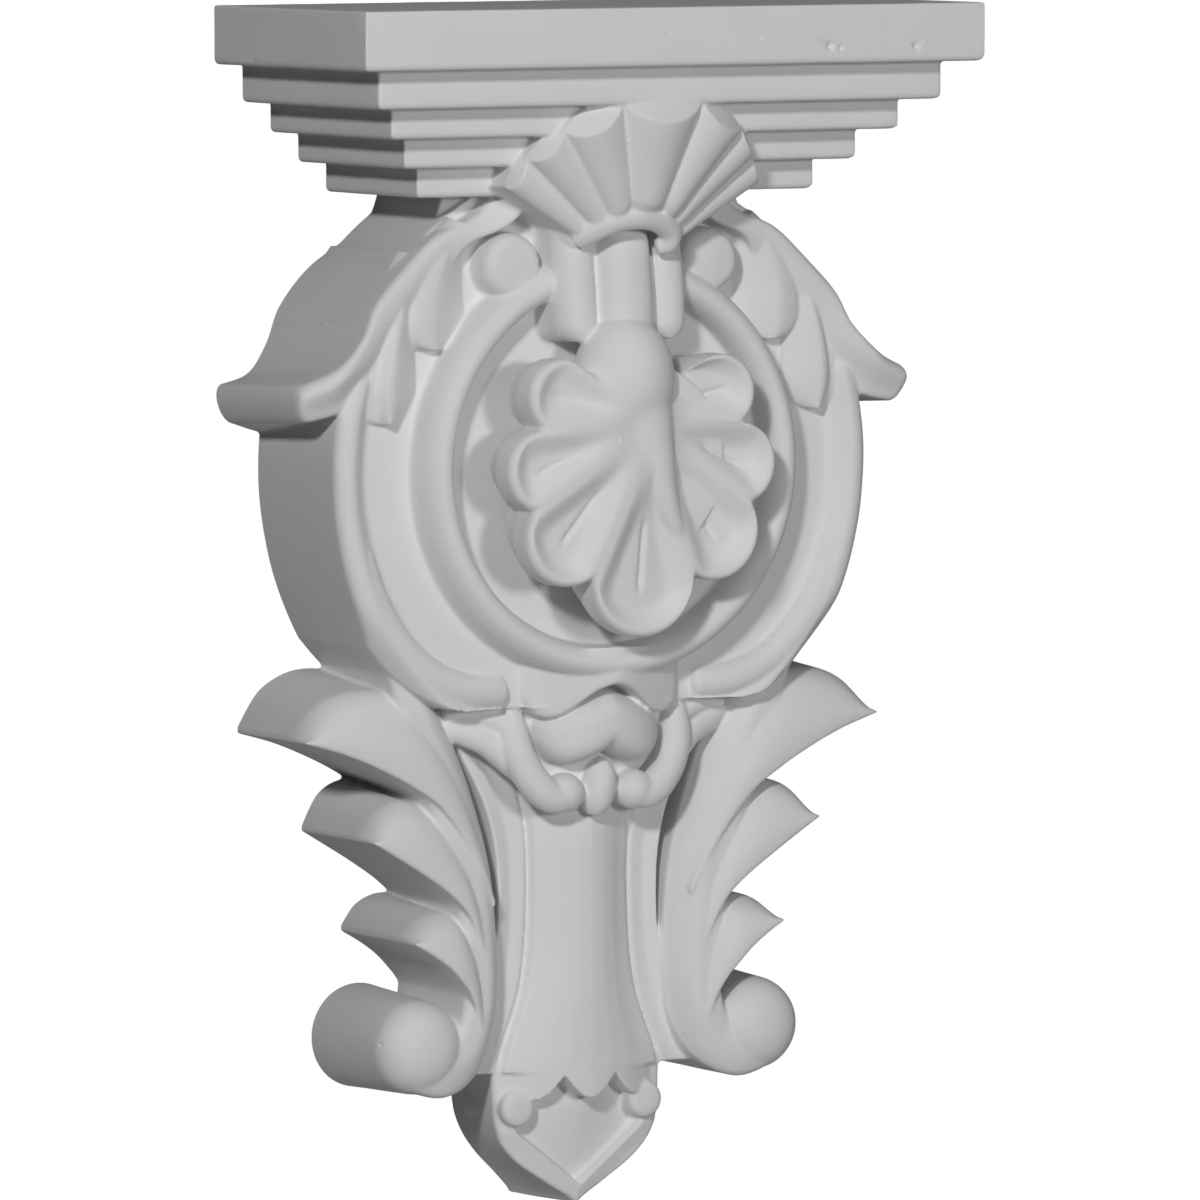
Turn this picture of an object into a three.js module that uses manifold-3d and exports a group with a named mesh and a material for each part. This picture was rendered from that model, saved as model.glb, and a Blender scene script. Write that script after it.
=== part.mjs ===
// Leaf corbel: a wall bracket moulded in one piece, flat at the back.
// Millimetres. X runs along the wall, +Y into the wall, +Z up. The front faces -Y.
// The origin lies on the wall face, on the centre line, at half the height.
import * as THREE from 'three';
import { mergeVertices } from 'three/addons/utils/BufferGeometryUtils.js';
import Module from 'manifold-3d';

const wasm = await Module();
wasm.setup();

// Crown: five steps, each shorter and shallower than the one above
const crownWidth = 205;
const crownDepth = 91;
const fasciaHeight = 17.2;
const secondStepHeight = 11.1;
const lowerStepHeight = 8.8;
const lowerStepCount = 3;
const stepSetback = 9.1;
const stepEdgeRadius = 1.6;

// Main levels, each measured down from what is above it
const neckHeight = 17;
const drumBelowNeck = 62;
const waistBelowDrum = 61;
const waistHeight = 117;
const dropHeight = 40;

// Drum with its ring and rim
const drumRadius = 88.9;
const drumLowerStretch = 0.088;
const drumDepth = 43;
const drumFoot = 10.3;
const drumFootRise = 9.8;
const ringRadius = 57.5;
const ringWidth = 10.5;
const ringRise = 13;
const medallionDepth = 45;
const rimDepth = 49;
const rimRoll = 4.5;
const rimSlope = 8;
const rimBeadRadius = 5.2;

// Neck and waist
const neckDepth = 38;
const neckEdgeFall = 3;
const neckHalfWidths = [0.55, 0.62, 0.78, 0.88, 0.93].map((share) => share * drumRadius);
const waistTopHalfWidth = 58;
const waistNarrowHalfWidth = 29;
const waistBottomHalfWidth = 41.5;
const bandDepth = 30;
const grooveDepth = 26;
const panelTopHalfWidth = 29;
const panelNarrowHalfWidth = 15.1;
const panelBottomHalfWidth = 25.7;
const panelRise = 9.5;
const panelEdgeStep = 1.6;

// Hem of the panel
const scallopHalfWidth = 8.5;
const scallopDrop = 7;
const scallopLip = 1;
const hemThickness = 2.2;

// Palmette under the crown
const ribCount = 7;
const ribCamber = 4.4;
const ribTopSlope = 1.1;
const ribTopRise = 0.8;
const ribShoulderSink = 1;
const fanHalfWidth = 42.2;
const fanHeight = 40;
const fanDepth = 80.5;
const fanTipFall = 18;
const fanRootDepth = 72;
const fanRootFall = 10;
const fanBelowTop = 27.3;
const archRadius = 11;
const archBeadRadius = 3.7;

// Reeds between the scrolls
const reedRadius = 9.2;
const reedSpacing = 15.5;
const reedLength = 30;
const reedDepth = 67;
const sideReedDepth = 60;

// Scrolls beside the reeds
const scrollRadius = 9.2;
const scrollSpacing = 33;
const scrollDepth = 54;
const scrollDomeRise = 2;

// Shell leaf in the medallion
const shellHeight = 90;
const shellDepth = 71;
const shellFootDepth = 50;
const shellRimRise = 2.6;
const bulbRise = 6;
const pedestalRadius = 29;

// Side leaves and shoulder leaves
const leafHeight = 124;
const leafDepth = 45;
const leafHollow = 9;
const leafBallRadius = 14;
const shoulderHeight = 70;
const shoulderDepth = 50;

// Bud and its collar under the ring
const budHalfWidth = 20.5;
const budHeight = 24;
const budDepth = 53;
const budSideDepth = 43;
const lipRadius = 5;
const apronHalfWidth = 27.5;
const ballRadius = 5.2;
const ballSpacing = 11.5;
const tongueHalfWidth = 5;
const tongueHalfHeight = 9;
const collarDrop = 33;
const collarBeadRadius = 4.4;

// Drop below the waist
const dropHalfWidth = 28.5;
const dropBackHalfWidth = 26;
const dropDepth = 31;
const dropRimRise = 4;
const eyeRadius = 5.6;
const eyeRise = 3;
const eyeSpacing = 21.5;

// Half-widths of the drop from its top to its point, in shares of the widest
const dropTaper = [0.97, 1, 1, 0.94, 0.79, 0.42, 0.05];

// One side of the drop's border from the eye to the point: shares of the eye spacing and of the drop's height
const borderPath = [[1, 0.35], [0.86, 0.56], [0.46, 0.78], [0, 0.92]];

// One wing of the collar from its tip to its ball: shares of the bud's half-width, of the bead's radius
// and of the way down to the balls
const wingPath = [[2.2, 0.7, 0.27], [1.75, 1.6, 0.46], [1.4, 2.3, 0.76], [1.05, 2.7, 0.97], [0.56, 3, 1.03]];

const backing = 6;

// Levels worked out from the sizes, measured down from the top of the crown
const crownHeight = fasciaHeight + secondStepHeight + lowerStepCount * lowerStepHeight;
const neckDown = crownHeight + neckHeight;
const drumDown = neckDown + drumBelowNeck;
const waistDown = drumDown + waistBelowDrum;
const hemDown = waistDown + waistHeight;
const height = hemDown + dropHeight;

// Places a point given by its distance along the wall, its depth and its level
function at(x, depth, down) {
  return new THREE.Vector3(x, -depth, height / 2 - down);
}

// Straight-line reading of evenly spaced values at a share from 0 to 1
function reading(values, share) {
  const place = THREE.MathUtils.clamp(share, 0, 1) * (values.length - 1);
  const low = Math.min(Math.floor(place), values.length - 2);
  return THREE.MathUtils.lerp(values[low], values[low + 1], place - low);
}

// A share from 0 to 1 with soft ends, between two values
function smooth(value, low, high) {
  return THREE.MathUtils.smoothstep(value, low, high);
}

// Turns a closed geometry into a solid, with its faces pointing out
function solid(geometry) {
  const shell = geometry.clone();
  shell.deleteAttribute('normal');
  shell.deleteAttribute('uv');
  const merged = mergeVertices(shell, 1e-4);
  const position = merged.getAttribute('position');
  const index = Uint32Array.from(merged.getIndex().array);
  const corner = [new THREE.Vector3(), new THREE.Vector3(), new THREE.Vector3()];
  let volume = 0;
  for (let i = 0; i < index.length; i += 3) {
    corner.forEach((point, k) => point.fromBufferAttribute(position, index[i + k]));
    volume += corner[0].dot(corner[1].cross(corner[2]));
  }
  if (volume < 0) {
    for (let i = 0; i < index.length; i += 3) {
      [index[i], index[i + 1]] = [index[i + 1], index[i]];
    }
  }
  const vertProperties = Float32Array.from(position.array);
  return new wasm.Manifold(new wasm.Mesh({ numProp: 3, vertProperties, triVerts: index }));
}

// Copies a geometry to the other side of the centre line
function bothSides(geometries) {
  return geometries.flatMap((geometry) => [geometry, geometry.clone().scale(-1, 1, 1)]);
}

// A box whose points are moved: u and v run over its front, w from back to front
function shapedBox(along, across, layers, place) {
  const box = new THREE.BoxGeometry(1, 1, 1, along, across, layers);
  const position = box.getAttribute('position');
  for (let i = 0; i < position.count; i++) {
    const u = position.getX(i) + 0.5;
    const v = 2 * position.getY(i);
    const w = position.getZ(i) + 0.5;
    const point = place(u, v, w);
    position.setXYZ(i, point.x, point.y, point.z);
  }
  return box;
}

// A carved tongue: it follows a path on the wall and has its own front surface.
// Lean is how much higher it stands at the wall than at the front.
function tongue({ path, halfWidth, front, foot = -backing, lean = 0, along = 7, across = 6 }) {
  return shapedBox(along, across, 1, (u, v, w) => {
    const middle = path.getPoint(u);
    const direction = path.getTangent(u);
    const side = v * halfWidth(u);
    const depth = w > 0.5 ? front(u, v) : foot;
    const raised = w > 0.5 ? 0 : lean;
    return at(middle.x - direction.y * side, depth, middle.y + direction.x * side - raised);
  });
}

// A path through a few points given in shares of a carving's own height
function pathIn(frame, points) {
  const spots = points.map(([x, down]) => (
    new THREE.Vector2(frame.x + x * frame.size, frame.down + down * frame.size)));
  return new THREE.SplineCurve(spots);
}

// A round bead that follows a path on the front, as a tube with closed ends
function bead(points, radius, steps, sides = 6) {
  const path = new THREE.CatmullRomCurve3(points);
  const section = new THREE.Shape();
  section.absarc(0, 0, radius, 0, 2 * Math.PI);
  return new THREE.ExtrudeGeometry(section, {
    steps, curveSegments: sides / 2, bevelEnabled: false, extrudePath: path,
  });
}

// A round boss that stands out of the wall, with a domed front
function boss(x, down, radius, depth, dome, sides = 16) {
  const profile = [
    new THREE.Vector2(0, -backing),
    new THREE.Vector2(radius, -backing),
    new THREE.Vector2(radius, depth - dome),
    new THREE.Vector2(radius * 0.86, depth - dome * 0.35),
    new THREE.Vector2(0, depth),
  ];
  const turned = new THREE.LatheGeometry(profile, sides);
  const place = at(x, 0, down);
  return turned.rotateX(Math.PI).translate(place.x, place.y, place.z);
}

// A ball or an egg half sunk in what carries it
function egg(x, depth, down, halfWidth, halfDepth, halfHeight) {
  const place = at(x, depth, down);
  const ball = new THREE.SphereGeometry(1, 10, 6);
  return ball.scale(halfWidth, halfDepth, halfHeight).translate(place.x, place.y, place.z);
}

// One step of the crown, with its lower edge eased
function crownStep(halfWidth, depth, down, stepHeight) {
  const levels = [0, stepHeight - stepEdgeRadius, stepHeight - stepEdgeRadius * 0.35, stepHeight];
  const insets = [0, 0, stepEdgeRadius * 0.35, stepEdgeRadius];
  return shapedBox(1, 1, 3, (u, v, w) => {
    const inset = reading(insets, 1 - w);
    const x = (2 * u - 1) * (halfWidth - inset);
    const y = v > 0 ? depth - inset : -backing;
    return at(x, y, down + reading(levels, 1 - w));
  });
}

function crown() {
  const heights = [fasciaHeight, secondStepHeight];
  for (let i = 0; i < lowerStepCount; i++) {
    heights.push(lowerStepHeight);
  }
  let down = 0;
  return heights.map((stepHeight, i) => {
    const sunk = i === 0 ? 0 : stepEdgeRadius;
    const step = crownStep(
      crownWidth / 2 - i * stepSetback, crownDepth - i * stepSetback, down - sunk, stepHeight + sunk);
    down += stepHeight;
    return step;
  });
}

// Neck: carries the crown on the drum
function neck() {
  const top = crownHeight - stepEdgeRadius;
  return shapedBox(6, 4, 1, (u, v, w) => {
    const down = THREE.MathUtils.lerp(top, drumDown - drumBelowNeck * 0.4, u);
    const edge = Math.sqrt(Math.max(0, 1 - v * v)) * neckEdgeFall;
    return at(v * reading(neckHalfWidths, u), w > 0.5 ? neckDepth + edge + u * 2 : -backing, down);
  });
}

// Drum, rolled rim, channel, ring and medallion floor as one turned shape.
// Below its middle the drum's edge reaches further out than a circle, and its foot is cut off.
function drum() {
  const half = ringWidth / 2;
  const crest = drumDepth + ringRise;
  const rimRadius = drumRadius - rimRoll;
  const profile = [
    new THREE.Vector2(0, -backing),
    new THREE.Vector2(drumRadius, -backing),
    new THREE.Vector2(drumRadius, rimDepth - rimRoll),
    new THREE.Vector2(rimRadius + rimRoll * 0.6, rimDepth - rimRoll * 0.2),
    new THREE.Vector2(rimRadius, rimDepth),
    new THREE.Vector2(rimRadius - rimSlope, drumDepth),
    new THREE.Vector2(ringRadius + half, drumDepth),
  ];
  const steps = 6;
  for (let i = 0; i <= steps; i++) {
    const angle = Math.PI * i / steps;
    const low = i * 2 <= steps ? drumDepth : medallionDepth;
    const lift = Math.pow(Math.sin(angle), 0.8);
    const reach = ringRadius + half * Math.cos(angle) * 0.92;
    profile.push(new THREE.Vector2(reach, low + 2 + (crest - low - 2) * lift));
  }
  profile.push(new THREE.Vector2(ringRadius - half, medallionDepth));
  profile.push(new THREE.Vector2(0, medallionDepth));
  const turned = new THREE.LatheGeometry(profile, 38).rotateX(Math.PI);
  const position = turned.getAttribute('position');
  for (let i = 0; i < position.count; i++) {
    const x = Math.abs(position.getX(i));
    const below = -position.getZ(i);
    const depth = -position.getY(i);
    const away = Math.hypot(x, below);
    const turn = Math.atan2(below, x);
    const shown = smooth(turn, -0.42, -0.28) * (1 - smooth(turn, 0.8, 1));
    const outer = away > ringRadius + ringWidth;
    const kept = outer ? Math.min(depth, drumDepth + Math.max(0, depth - drumDepth) * shown) : depth;
    const stretch = 1 + (below > 0 ? drumLowerStretch * smooth(away, rimRadius - rimSlope, drumRadius) : 0);
    const curve = Math.max(0, x - drumRadius / 2) / (drumRadius / 4);
    const foot = waistDown + drumFoot - drumFootRise * curve * curve - drumDown;
    position.setY(i, -kept);
    position.setZ(i, -Math.min(below * stretch, Math.max(foot, 0)));
  }
  const place = at(0, 0, drumDown);
  return turned.translate(place.x, place.y, place.z);
}

// Rim bead: leaves the drum's rim at its lower side, then turns in under the ring
function rimBead() {
  const radius = drumRadius - rimRoll;
  const depth = rimDepth - rimBeadRadius;
  const points = [];
  const arcSteps = 4;
  for (let i = 0; i <= arcSteps; i++) {
    const share = i / arcSteps;
    const angle = THREE.MathUtils.degToRad(THREE.MathUtils.lerp(14, 46, share));
    const reach = radius * THREE.MathUtils.lerp(1, 0.96, share);
    points.push(at(reach * Math.cos(angle), depth, drumDown + reach * Math.sin(angle)));
  }
  points.push(at(radius * 0.53, depth, drumDown + radius * 0.76));
  points.push(at(radius * 0.37, depth - 2, drumDown + radius * 0.77));
  return bead(points, rimBeadRadius, 6, 8);
}

// Waist: a convex panel between flat bands, narrow in the middle
function waist() {
  const outer = [waistTopHalfWidth, waistTopHalfWidth * 0.74, waistNarrowHalfWidth * 1.08,
    waistNarrowHalfWidth, waistNarrowHalfWidth * 1.12, waistBottomHalfWidth];
  const panel = [panelTopHalfWidth, panelTopHalfWidth * 0.82, panelNarrowHalfWidth * 1.08,
    panelNarrowHalfWidth, panelNarrowHalfWidth * 1.16, panelBottomHalfWidth];
  const smoothed = (values) => {
    const curve = new THREE.SplineCurve(values.map((value, i) => new THREE.Vector2(i, value)));
    return (share) => curve.getPoint(share).y;
  };
  const outerAt = smoothed(outer);
  const panelAt = smoothed(panel);
  const columns = 16;
  return shapedBox(10, columns, 1, (u, v, w) => {
    const share = Math.abs(v) * columns / 2;
    const panelEdge = panelAt(u);
    const outerEdge = outerAt(u);
    const stations = [0, panelEdge * 0.28, panelEdge * 0.52, panelEdge * 0.75, panelEdge,
      panelEdge + 1.2, outerEdge - 4.2, outerEdge - 2, outerEdge];
    const depths = [panelRise, panelRise * 0.93, panelRise * 0.72, panelRise * 0.42, panelEdgeStep,
      0, 0, grooveDepth - bandDepth, grooveDepth - bandDepth];
    const slot = Math.round(share);
    const x = Math.sign(v) * stations[slot];
    const top = 6 * Math.max(0, 1 - u * 4);
    const down = THREE.MathUtils.lerp(waistDown - 8, hemDown, u);
    return at(x, w > 0.5 ? bandDepth + depths[slot] + top : -backing, down);
  });
}

// Scalloped hem at the foot of the panel
function hem() {
  const centres = [-2 * scallopHalfWidth, 0, 2 * scallopHalfWidth];
  return centres.map((x) => {
    const away = Math.abs(x) / panelBottomHalfWidth;
    const depth = bandDepth + panelRise * (1 - away * away);
    const steps = 6;
    return shapedBox(steps, 1, 1, (u, v, w) => {
      const lean = Math.abs(x + (u - 0.5) * 2 * scallopHalfWidth) / panelBottomHalfWidth;
      const out = bandDepth + panelRise * (1 - lean * lean);
      const drop = scallopDrop * Math.sin(Math.PI * u) + scallopLip;
      const down = v > 0 ? hemDown + drop : hemDown - hemThickness;
      return at(x + (u - 0.5) * 2 * scallopHalfWidth, w > 0.5 ? out : depth * 0.5, down);
    });
  });
}

// Grooves of one half of the palmette, from the middle out, in shares of its half-width and height
const grooveTips = [[0.31, 0], [0.7, 0.2], [0.89, 0.4], [1, 0.61]];
const grooveRoots = [[0.12, 0.77], [0.25, 0.85], [0.33, 0.92], [0.39, 1]];
const grooveTipSink = [0, 0.3, 0.7, 1];

// Palmette: rounded ribs between sharp grooves, leaning forward to the top.
// Each rib is cut off aslant at its top, between its front and the crown.
function palmette() {
  const cuts = 4;
  return [shapedBox(ribCount * cuts, 3, 2, (u, v, w) => {
    const place = u * ribCount;
    const first = Math.min(Math.floor(place + 1e-6), ribCount - 1);
    const along = place - first;
    const ends = [first, first + 1].map((i) => {
      const away = Math.min(Math.abs(i - ribCount / 2) - 0.5, grooveTips.length - 1);
      return {
        sign: Math.sign(i - ribCount / 2),
        tip: grooveTips[away],
        root: grooveRoots[away],
        sink: grooveTipSink[away],
      };
    });
    const mix = (pick) => THREE.MathUtils.lerp(pick(ends[0]), pick(ends[1]), along);
    const rise = (v + 1) / 2;
    const swell = Math.pow(Math.max(0, Math.sin(Math.PI * along)), 0.75);
    const width = Math.abs(ends[1].sign * ends[1].tip[0] - ends[0].sign * ends[0].tip[0]);
    const camber = ribCamber * swell * (0.35 + width) * (0.45 + 0.55 * rise);
    const x = fanHalfWidth * THREE.MathUtils.lerp(
      mix((e) => e.sign * e.root[0]), mix((e) => e.sign * e.tip[0]), rise);
    const edge = mix((e) => e.tip[1]) * fanHeight;
    const level = fanBelowTop + THREE.MathUtils.lerp(mix((e) => e.root[1]) * fanHeight, edge, rise);
    const fall = THREE.MathUtils.lerp(
      fanRootDepth - fanRootFall * mix((e) => e.sink), fanDepth - fanTipFall * mix((e) => e.sink), rise);
    if (w > 0.75) {
      return at(x, fall + camber, level + camber * ribTopSlope * rise);
    }
    const shoulderLevel = level - camber * ribTopRise * rise;
    return at(x, w > 0.25 ? fall - ribShoulderSink : neckDepth - 10, shoulderLevel);
  })];
}

// Arched bead at the root of the palmette
function arch() {
  const centre = fanBelowTop + fanHeight + archBeadRadius * 0.7;
  const points = [];
  const steps = 6;
  for (let i = 0; i <= steps; i++) {
    const turn = Math.PI * (i / steps - 0.5);
    const depth = THREE.MathUtils.lerp(fanRootDepth, fanRootDepth - 9, Math.abs(i * 2 / steps - 1));
    points.push(at(archRadius * 1.3 * Math.sin(turn), depth - 2, centre - archRadius * Math.cos(turn)));
  }
  return bead(points, archBeadRadius, 11);
}

function reeds() {
  const top = neckDown - 6;
  const places = [[-reedSpacing, sideReedDepth], [0, reedDepth], [reedSpacing, sideReedDepth]];
  return places.map(([x, depth]) => shapedBox(4, 6, 1, (u, v, w) => {
    const angle = Math.PI / 2 * v;
    const down = top + u * reedLength;
    const end = Math.sqrt(Math.max(0.05, 1 - Math.pow(Math.max(0, u - 0.7) / 0.3, 2)));
    const front = depth - reedRadius * (1 - Math.cos(angle) * end);
    return at(x + reedRadius * 0.98 * Math.sin(angle), w > 0.5 ? front : neckDepth - 10, down);
  }));
}

function scrolls() {
  const down = neckDown + 2;
  const disc = boss(scrollSpacing, down, scrollRadius, scrollDepth, scrollDomeRise);
  const band = bead([
    at(scrollSpacing + scrollRadius * 2.2, shoulderDepth - 6, down + scrollRadius * 0.3),
    at(scrollSpacing + scrollRadius * 1.7, shoulderDepth - 4, down - scrollRadius * 0.7),
    at(scrollSpacing + scrollRadius * 0.6, scrollDepth - 6, down - scrollRadius * 1.15),
    at(scrollSpacing - scrollRadius * 0.5, scrollDepth - 6, down - scrollRadius * 0.9),
  ], 4, 6);
  return bothSides([disc, band]);
}

// Leaf lobes listed from the top: path, half-widths and depths in shares of the leaf
const leafLobes = [
  { path: [[0.24, 0.56], [0.32, 0.38], [0.42, 0.21], [0.55, 0.105], [0.68, 0.1], [0.76, 0.145]], lean: 5,
    widths: [0.04, 0.075, 0.1, 0.095, 0.07, 0.025], crest: [0.86, 0.97, 1, 0.98, 0.95, 0.9] },
  { path: [[0.25, 0.7], [0.32, 0.52], [0.42, 0.4], [0.51, 0.36], [0.605, 0.355]], lean: 4,
    widths: [0.04, 0.075, 0.088, 0.07, 0.025], crest: [0.88, 0.98, 1.02, 1.01, 0.97] },
  { path: [[0.27, 0.84], [0.32, 0.71], [0.385, 0.64], [0.445, 0.61], [0.505, 0.61]], lean: 4,
    widths: [0.04, 0.075, 0.085, 0.068, 0.025], crest: [0.9, 1, 1.04, 1.05, 1.02] },
];
const leafStem = [
  [0.55, -0.05], [0.38, 0.18], [0.285, 0.45], [0.255, 0.67], [0.285, 0.83], [0.36, 0.905], [0.45, 0.92],
];
const leafBall = [0.46, 0.857];

// Side leaf: three lobes along one stem, which ends in a rolled ball
function sideLeaf() {
  const frame = { x: 0, down: waistDown, size: leafHeight };
  const lobes = leafLobes.map(({ path, lean, widths, crest }) => tongue({
    path: pathIn(frame, path),
    halfWidth: (u) => reading(widths, u) * leafHeight,
    front: (u, v) => leafDepth * reading(crest, u) - leafHollow * Math.pow((v - 0.55) / 1.55, 2),
    lean,
    along: 8,
  }));
  const stem = tongue({
    path: pathIn(frame, leafStem),
    halfWidth: (u) => leafHeight * reading([0.09, 0.1, 0.08, 0.06, 0.06, 0.06, 0.06], u),
    front: (u, v) => leafDepth * 0.86 + 1.5 - 3 * v * v,
    lean: 3,
    along: 8,
    across: 4,
  });
  const [x, down] = leafBall.map((share) => share * leafHeight);
  const ball = boss(x, waistDown + down, leafBallRadius, leafDepth, leafBallRadius * 0.5, 18);
  return bothSides([...lobes, stem, ball]);
}

// Shoulder leaf: an outer lobe that flares to a tip, and two lobes that hang inside it
const shoulderLobes = [
  { path: [[0.62, -0.1], [0.88, 0.08], [1.08, 0.31], [1.24, 0.53], [1.45, 0.575]], lean: -5,
    widths: [0.09, 0.11, 0.13, 0.13, 0.06], crest: [0.8, 0.92, 1.02, 1.1, 1.1], edge: 8 },
  { path: [[0.84, 0.02], [0.97, 0.25], [1.02, 0.48], [1.01, 0.68]], lean: 0,
    widths: [0.05, 0.09, 0.11, 0.07], crest: [0.84, 0.96, 1.01, 0.97], edge: 6 },
  { path: [[0.74, -0.04], [0.8, 0.12], [0.82, 0.28], [0.8, 0.4]], lean: 0,
    widths: [0.05, 0.09, 0.1, 0.06], crest: [0.84, 0.95, 1, 0.95], edge: 6 },
];

function shoulderLeaf() {
  const frame = { x: 0, down: neckDown, size: shoulderHeight };
  return bothSides(shoulderLobes.map(({ path, lean, widths, crest, edge }) => tongue({
    path: pathIn(frame, path),
    halfWidth: (u) => reading(widths, u) * shoulderHeight,
    front: (u, v) => shoulderDepth * reading(crest, u) - edge * v * v,
    lean,
  })));
}

// Shell lobes on one side, from the top: path and half-widths in shares of the shell
const shellLobes = [
  { path: [[0.02, 0.13], [0.2, 0.125], [0.33, 0.14], [0.39, 0.165]], widths: [0.08, 0.1, 0.112, 0.11, 0.07] },
  { path: [[0.03, 0.22], [0.2, 0.28], [0.36, 0.37], [0.48, 0.43]], widths: [0.06, 0.12, 0.14, 0.14, 0.085] },
  { path: [[0.02, 0.28], [0.14, 0.45], [0.25, 0.61], [0.34, 0.75]], widths: [0.06, 0.12, 0.155, 0.16, 0.1] },
];
const shellMiddle = {
  path: [[0, 0.28], [0, 0.52], [0, 0.75], [0, 0.95]], widths: [0.07, 0.12, 0.165, 0.19, 0.17, 0.09],
};

function shellLobe({ path, widths }) {
  const frame = { x: 0, down: drumDown - shellHeight * 0.4, size: shellHeight };
  return tongue({
    path: pathIn(frame, path),
    halfWidth: (u) => reading(widths, u) * shellHeight,
    front: (u, v) => {
      const rim = Math.cos(Math.PI * v * 1.25);
      const fall = Math.abs(v) > 0.99 ? 4 : 0;
      const end = u > 0.93 ? 4 : 0;
      return shellDepth - shellRimRise * (1 + rim) / 2 - Math.max(fall, end);
    },
    foot: shellFootDepth,
    along: 6,
  });
}

function shellLeaf() {
  const down = drumDown - shellHeight * 0.27;
  const bulb = egg(0, shellDepth - 8, down, shellHeight * 0.15, bulbRise + 8, shellHeight * 0.2);
  const side = bothSides(shellLobes.map(shellLobe));
  const pedestal = boss(0, drumDown - 2, pedestalRadius, shellDepth - 6, 1, 28);
  return [...side, shellLobe(shellMiddle), bulb, pedestal];
}

// Heart-shaped bud, with its cleft at the bottom
function bud() {
  const top = waistDown + 3;
  return shapedBox(7, 8, 1, (u, v, w) => {
    const away = Math.abs(v);
    const lower = budHeight * (1 - 0.24 * Math.pow(1 - away, 3) - 0.45 * Math.pow(away, 6));
    const upper = budHeight * 0.42 * Math.pow(away, 1.5);
    const down = top + THREE.MathUtils.lerp(upper, lower, u);
    const roll = 1 - Math.pow(2 * u - 1, 4) * 0.35;
    const depth = THREE.MathUtils.lerp(budSideDepth, budDepth, (1 - v * v) * roll);
    return at(v * budHalfWidth, w > 0.5 ? depth : 0, down);
  });
}

// Apron of the ring: its ogee edge lies over the bud, with a lip on each side
function apron() {
  const edge = [1, 2.5, 7.5, 8.5, 3];
  const depths = [12, 11, 6, 4, 0];
  const skirt = shapedBox(8, 2, 1, (u, v, w) => {
    const away = Math.abs(2 * u - 1);
    const drop = (v + 1) / 2;
    const down = THREE.MathUtils.lerp(waistDown - ringWidth, waistDown + reading(edge, away) + 1, drop);
    const crest = drumDepth + ringRise;
    const depth = THREE.MathUtils.lerp(crest - 1 - 5 * away * away, drumDepth + reading(depths, away), drop);
    return at((2 * u - 1) * apronHalfWidth, w > 0.5 ? depth : 0, down);
  });
  const lip = egg(
    budHalfWidth * 0.9, drumDepth + lipRadius * 0.2, waistDown + lipRadius * 1.5,
    lipRadius, lipRadius, lipRadius * 0.8);
  return [...bothSides([lip]), skirt];
}

// Collar: wings sweep down under the bud to two balls and a tongue
function collar() {
  const wing = bead(wingPath.map(([out, rise, fall]) => (
    at(budHalfWidth * out, bandDepth + collarBeadRadius * rise, waistDown + collarDrop * fall)
  )), collarBeadRadius, 9);
  const ballDepth = bandDepth + collarBeadRadius * 3;
  const ball = egg(ballSpacing, ballDepth, waistDown + collarDrop, ballRadius, ballRadius, ballRadius);
  const cup = shapedBox(4, 4, 1, (u, v, w) => {
    const width = budHalfWidth * THREE.MathUtils.lerp(1.7, 0.5, Math.pow(u, 1.6));
    const depth = bandDepth + 10 + 3 * u - 4 * v * v;
    return at(v * width, w > 0.5 ? depth : 0, waistDown + collarDrop * THREE.MathUtils.lerp(0.18, 1.06, u));
  });
  const middle = egg(
    0, ballDepth - 1, waistDown + collarDrop - 1, tongueHalfWidth, tongueHalfWidth * 1.6, tongueHalfHeight);
  return [...bothSides([wing, ball]), cup, middle];
}

// Drop: a shield that comes to a point, with a raised border and two round eyes
function drop() {
  const top = hemDown - 4;
  const body = shapedBox(9, 8, 1, (u, v, w) => {
    const half = (w > 0.5 ? dropHalfWidth : dropBackHalfWidth) * reading(dropTaper, u);
    const depth = dropDepth - 2 + 3 * (1 - v * v);
    return at(v * half, w > 0.5 ? depth - 3 * Math.pow(v, 6) : -backing, top + u * (dropHeight + 4));
  });
  const border = bead(borderPath.map(([out, fall]) => (
    at(eyeSpacing * out, dropDepth, hemDown + dropHeight * fall)
  )), dropRimRise * 0.75, 6);
  const eye = boss(eyeSpacing, hemDown + eyeRadius * 1.6, eyeRadius, dropDepth + eyeRise, 1.2, 14);
  return [body, ...bothSides([border, eye])];
}

const geometries = [
  ...crown(), neck(), drum(), ...bothSides([rimBead()]), waist(), ...hem(), ...palmette(), arch(),
  ...reeds(), ...scrolls(), ...sideLeaf(), ...shoulderLeaf(), ...shellLeaf(), bud(), ...apron(),
  ...collar(), ...drop(),
];

// Everything is joined, and what reaches behind the wall is cut off flat
const wallCut = new THREE.BoxGeometry(2 * crownWidth, 4 * backing, 2 * height);
wallCut.translate(0, 2 * backing, 0);
const joined = wasm.Manifold.union(geometries.map(solid)).subtract(solid(wallCut));
const mesh = joined.getMesh();
const geometry = new THREE.BufferGeometry();
geometry.setAttribute('position', new THREE.BufferAttribute(mesh.vertProperties, 3));
geometry.setIndex(new THREE.BufferAttribute(mesh.triVerts, 1));
geometry.computeVertexNormals();

const primedWhite = new THREE.MeshStandardMaterial({ color: 0xe9e8e6, roughness: 0.75, metalness: 0 });
const corbel = new THREE.Mesh(geometry, primedWhite);
corbel.name = 'corbel';

const part = new THREE.Group();
part.add(corbel);

export default part;
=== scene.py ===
"""Leaf corbel of primed moulded foam: its carved surface, finish, studio and camera.

Shapes are worked out in millimetres as (along the wall, depth from the wall, down from the crown's top).
They become metres in the part's own frame when the mesh is made.
"""

from __future__ import annotations

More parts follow.
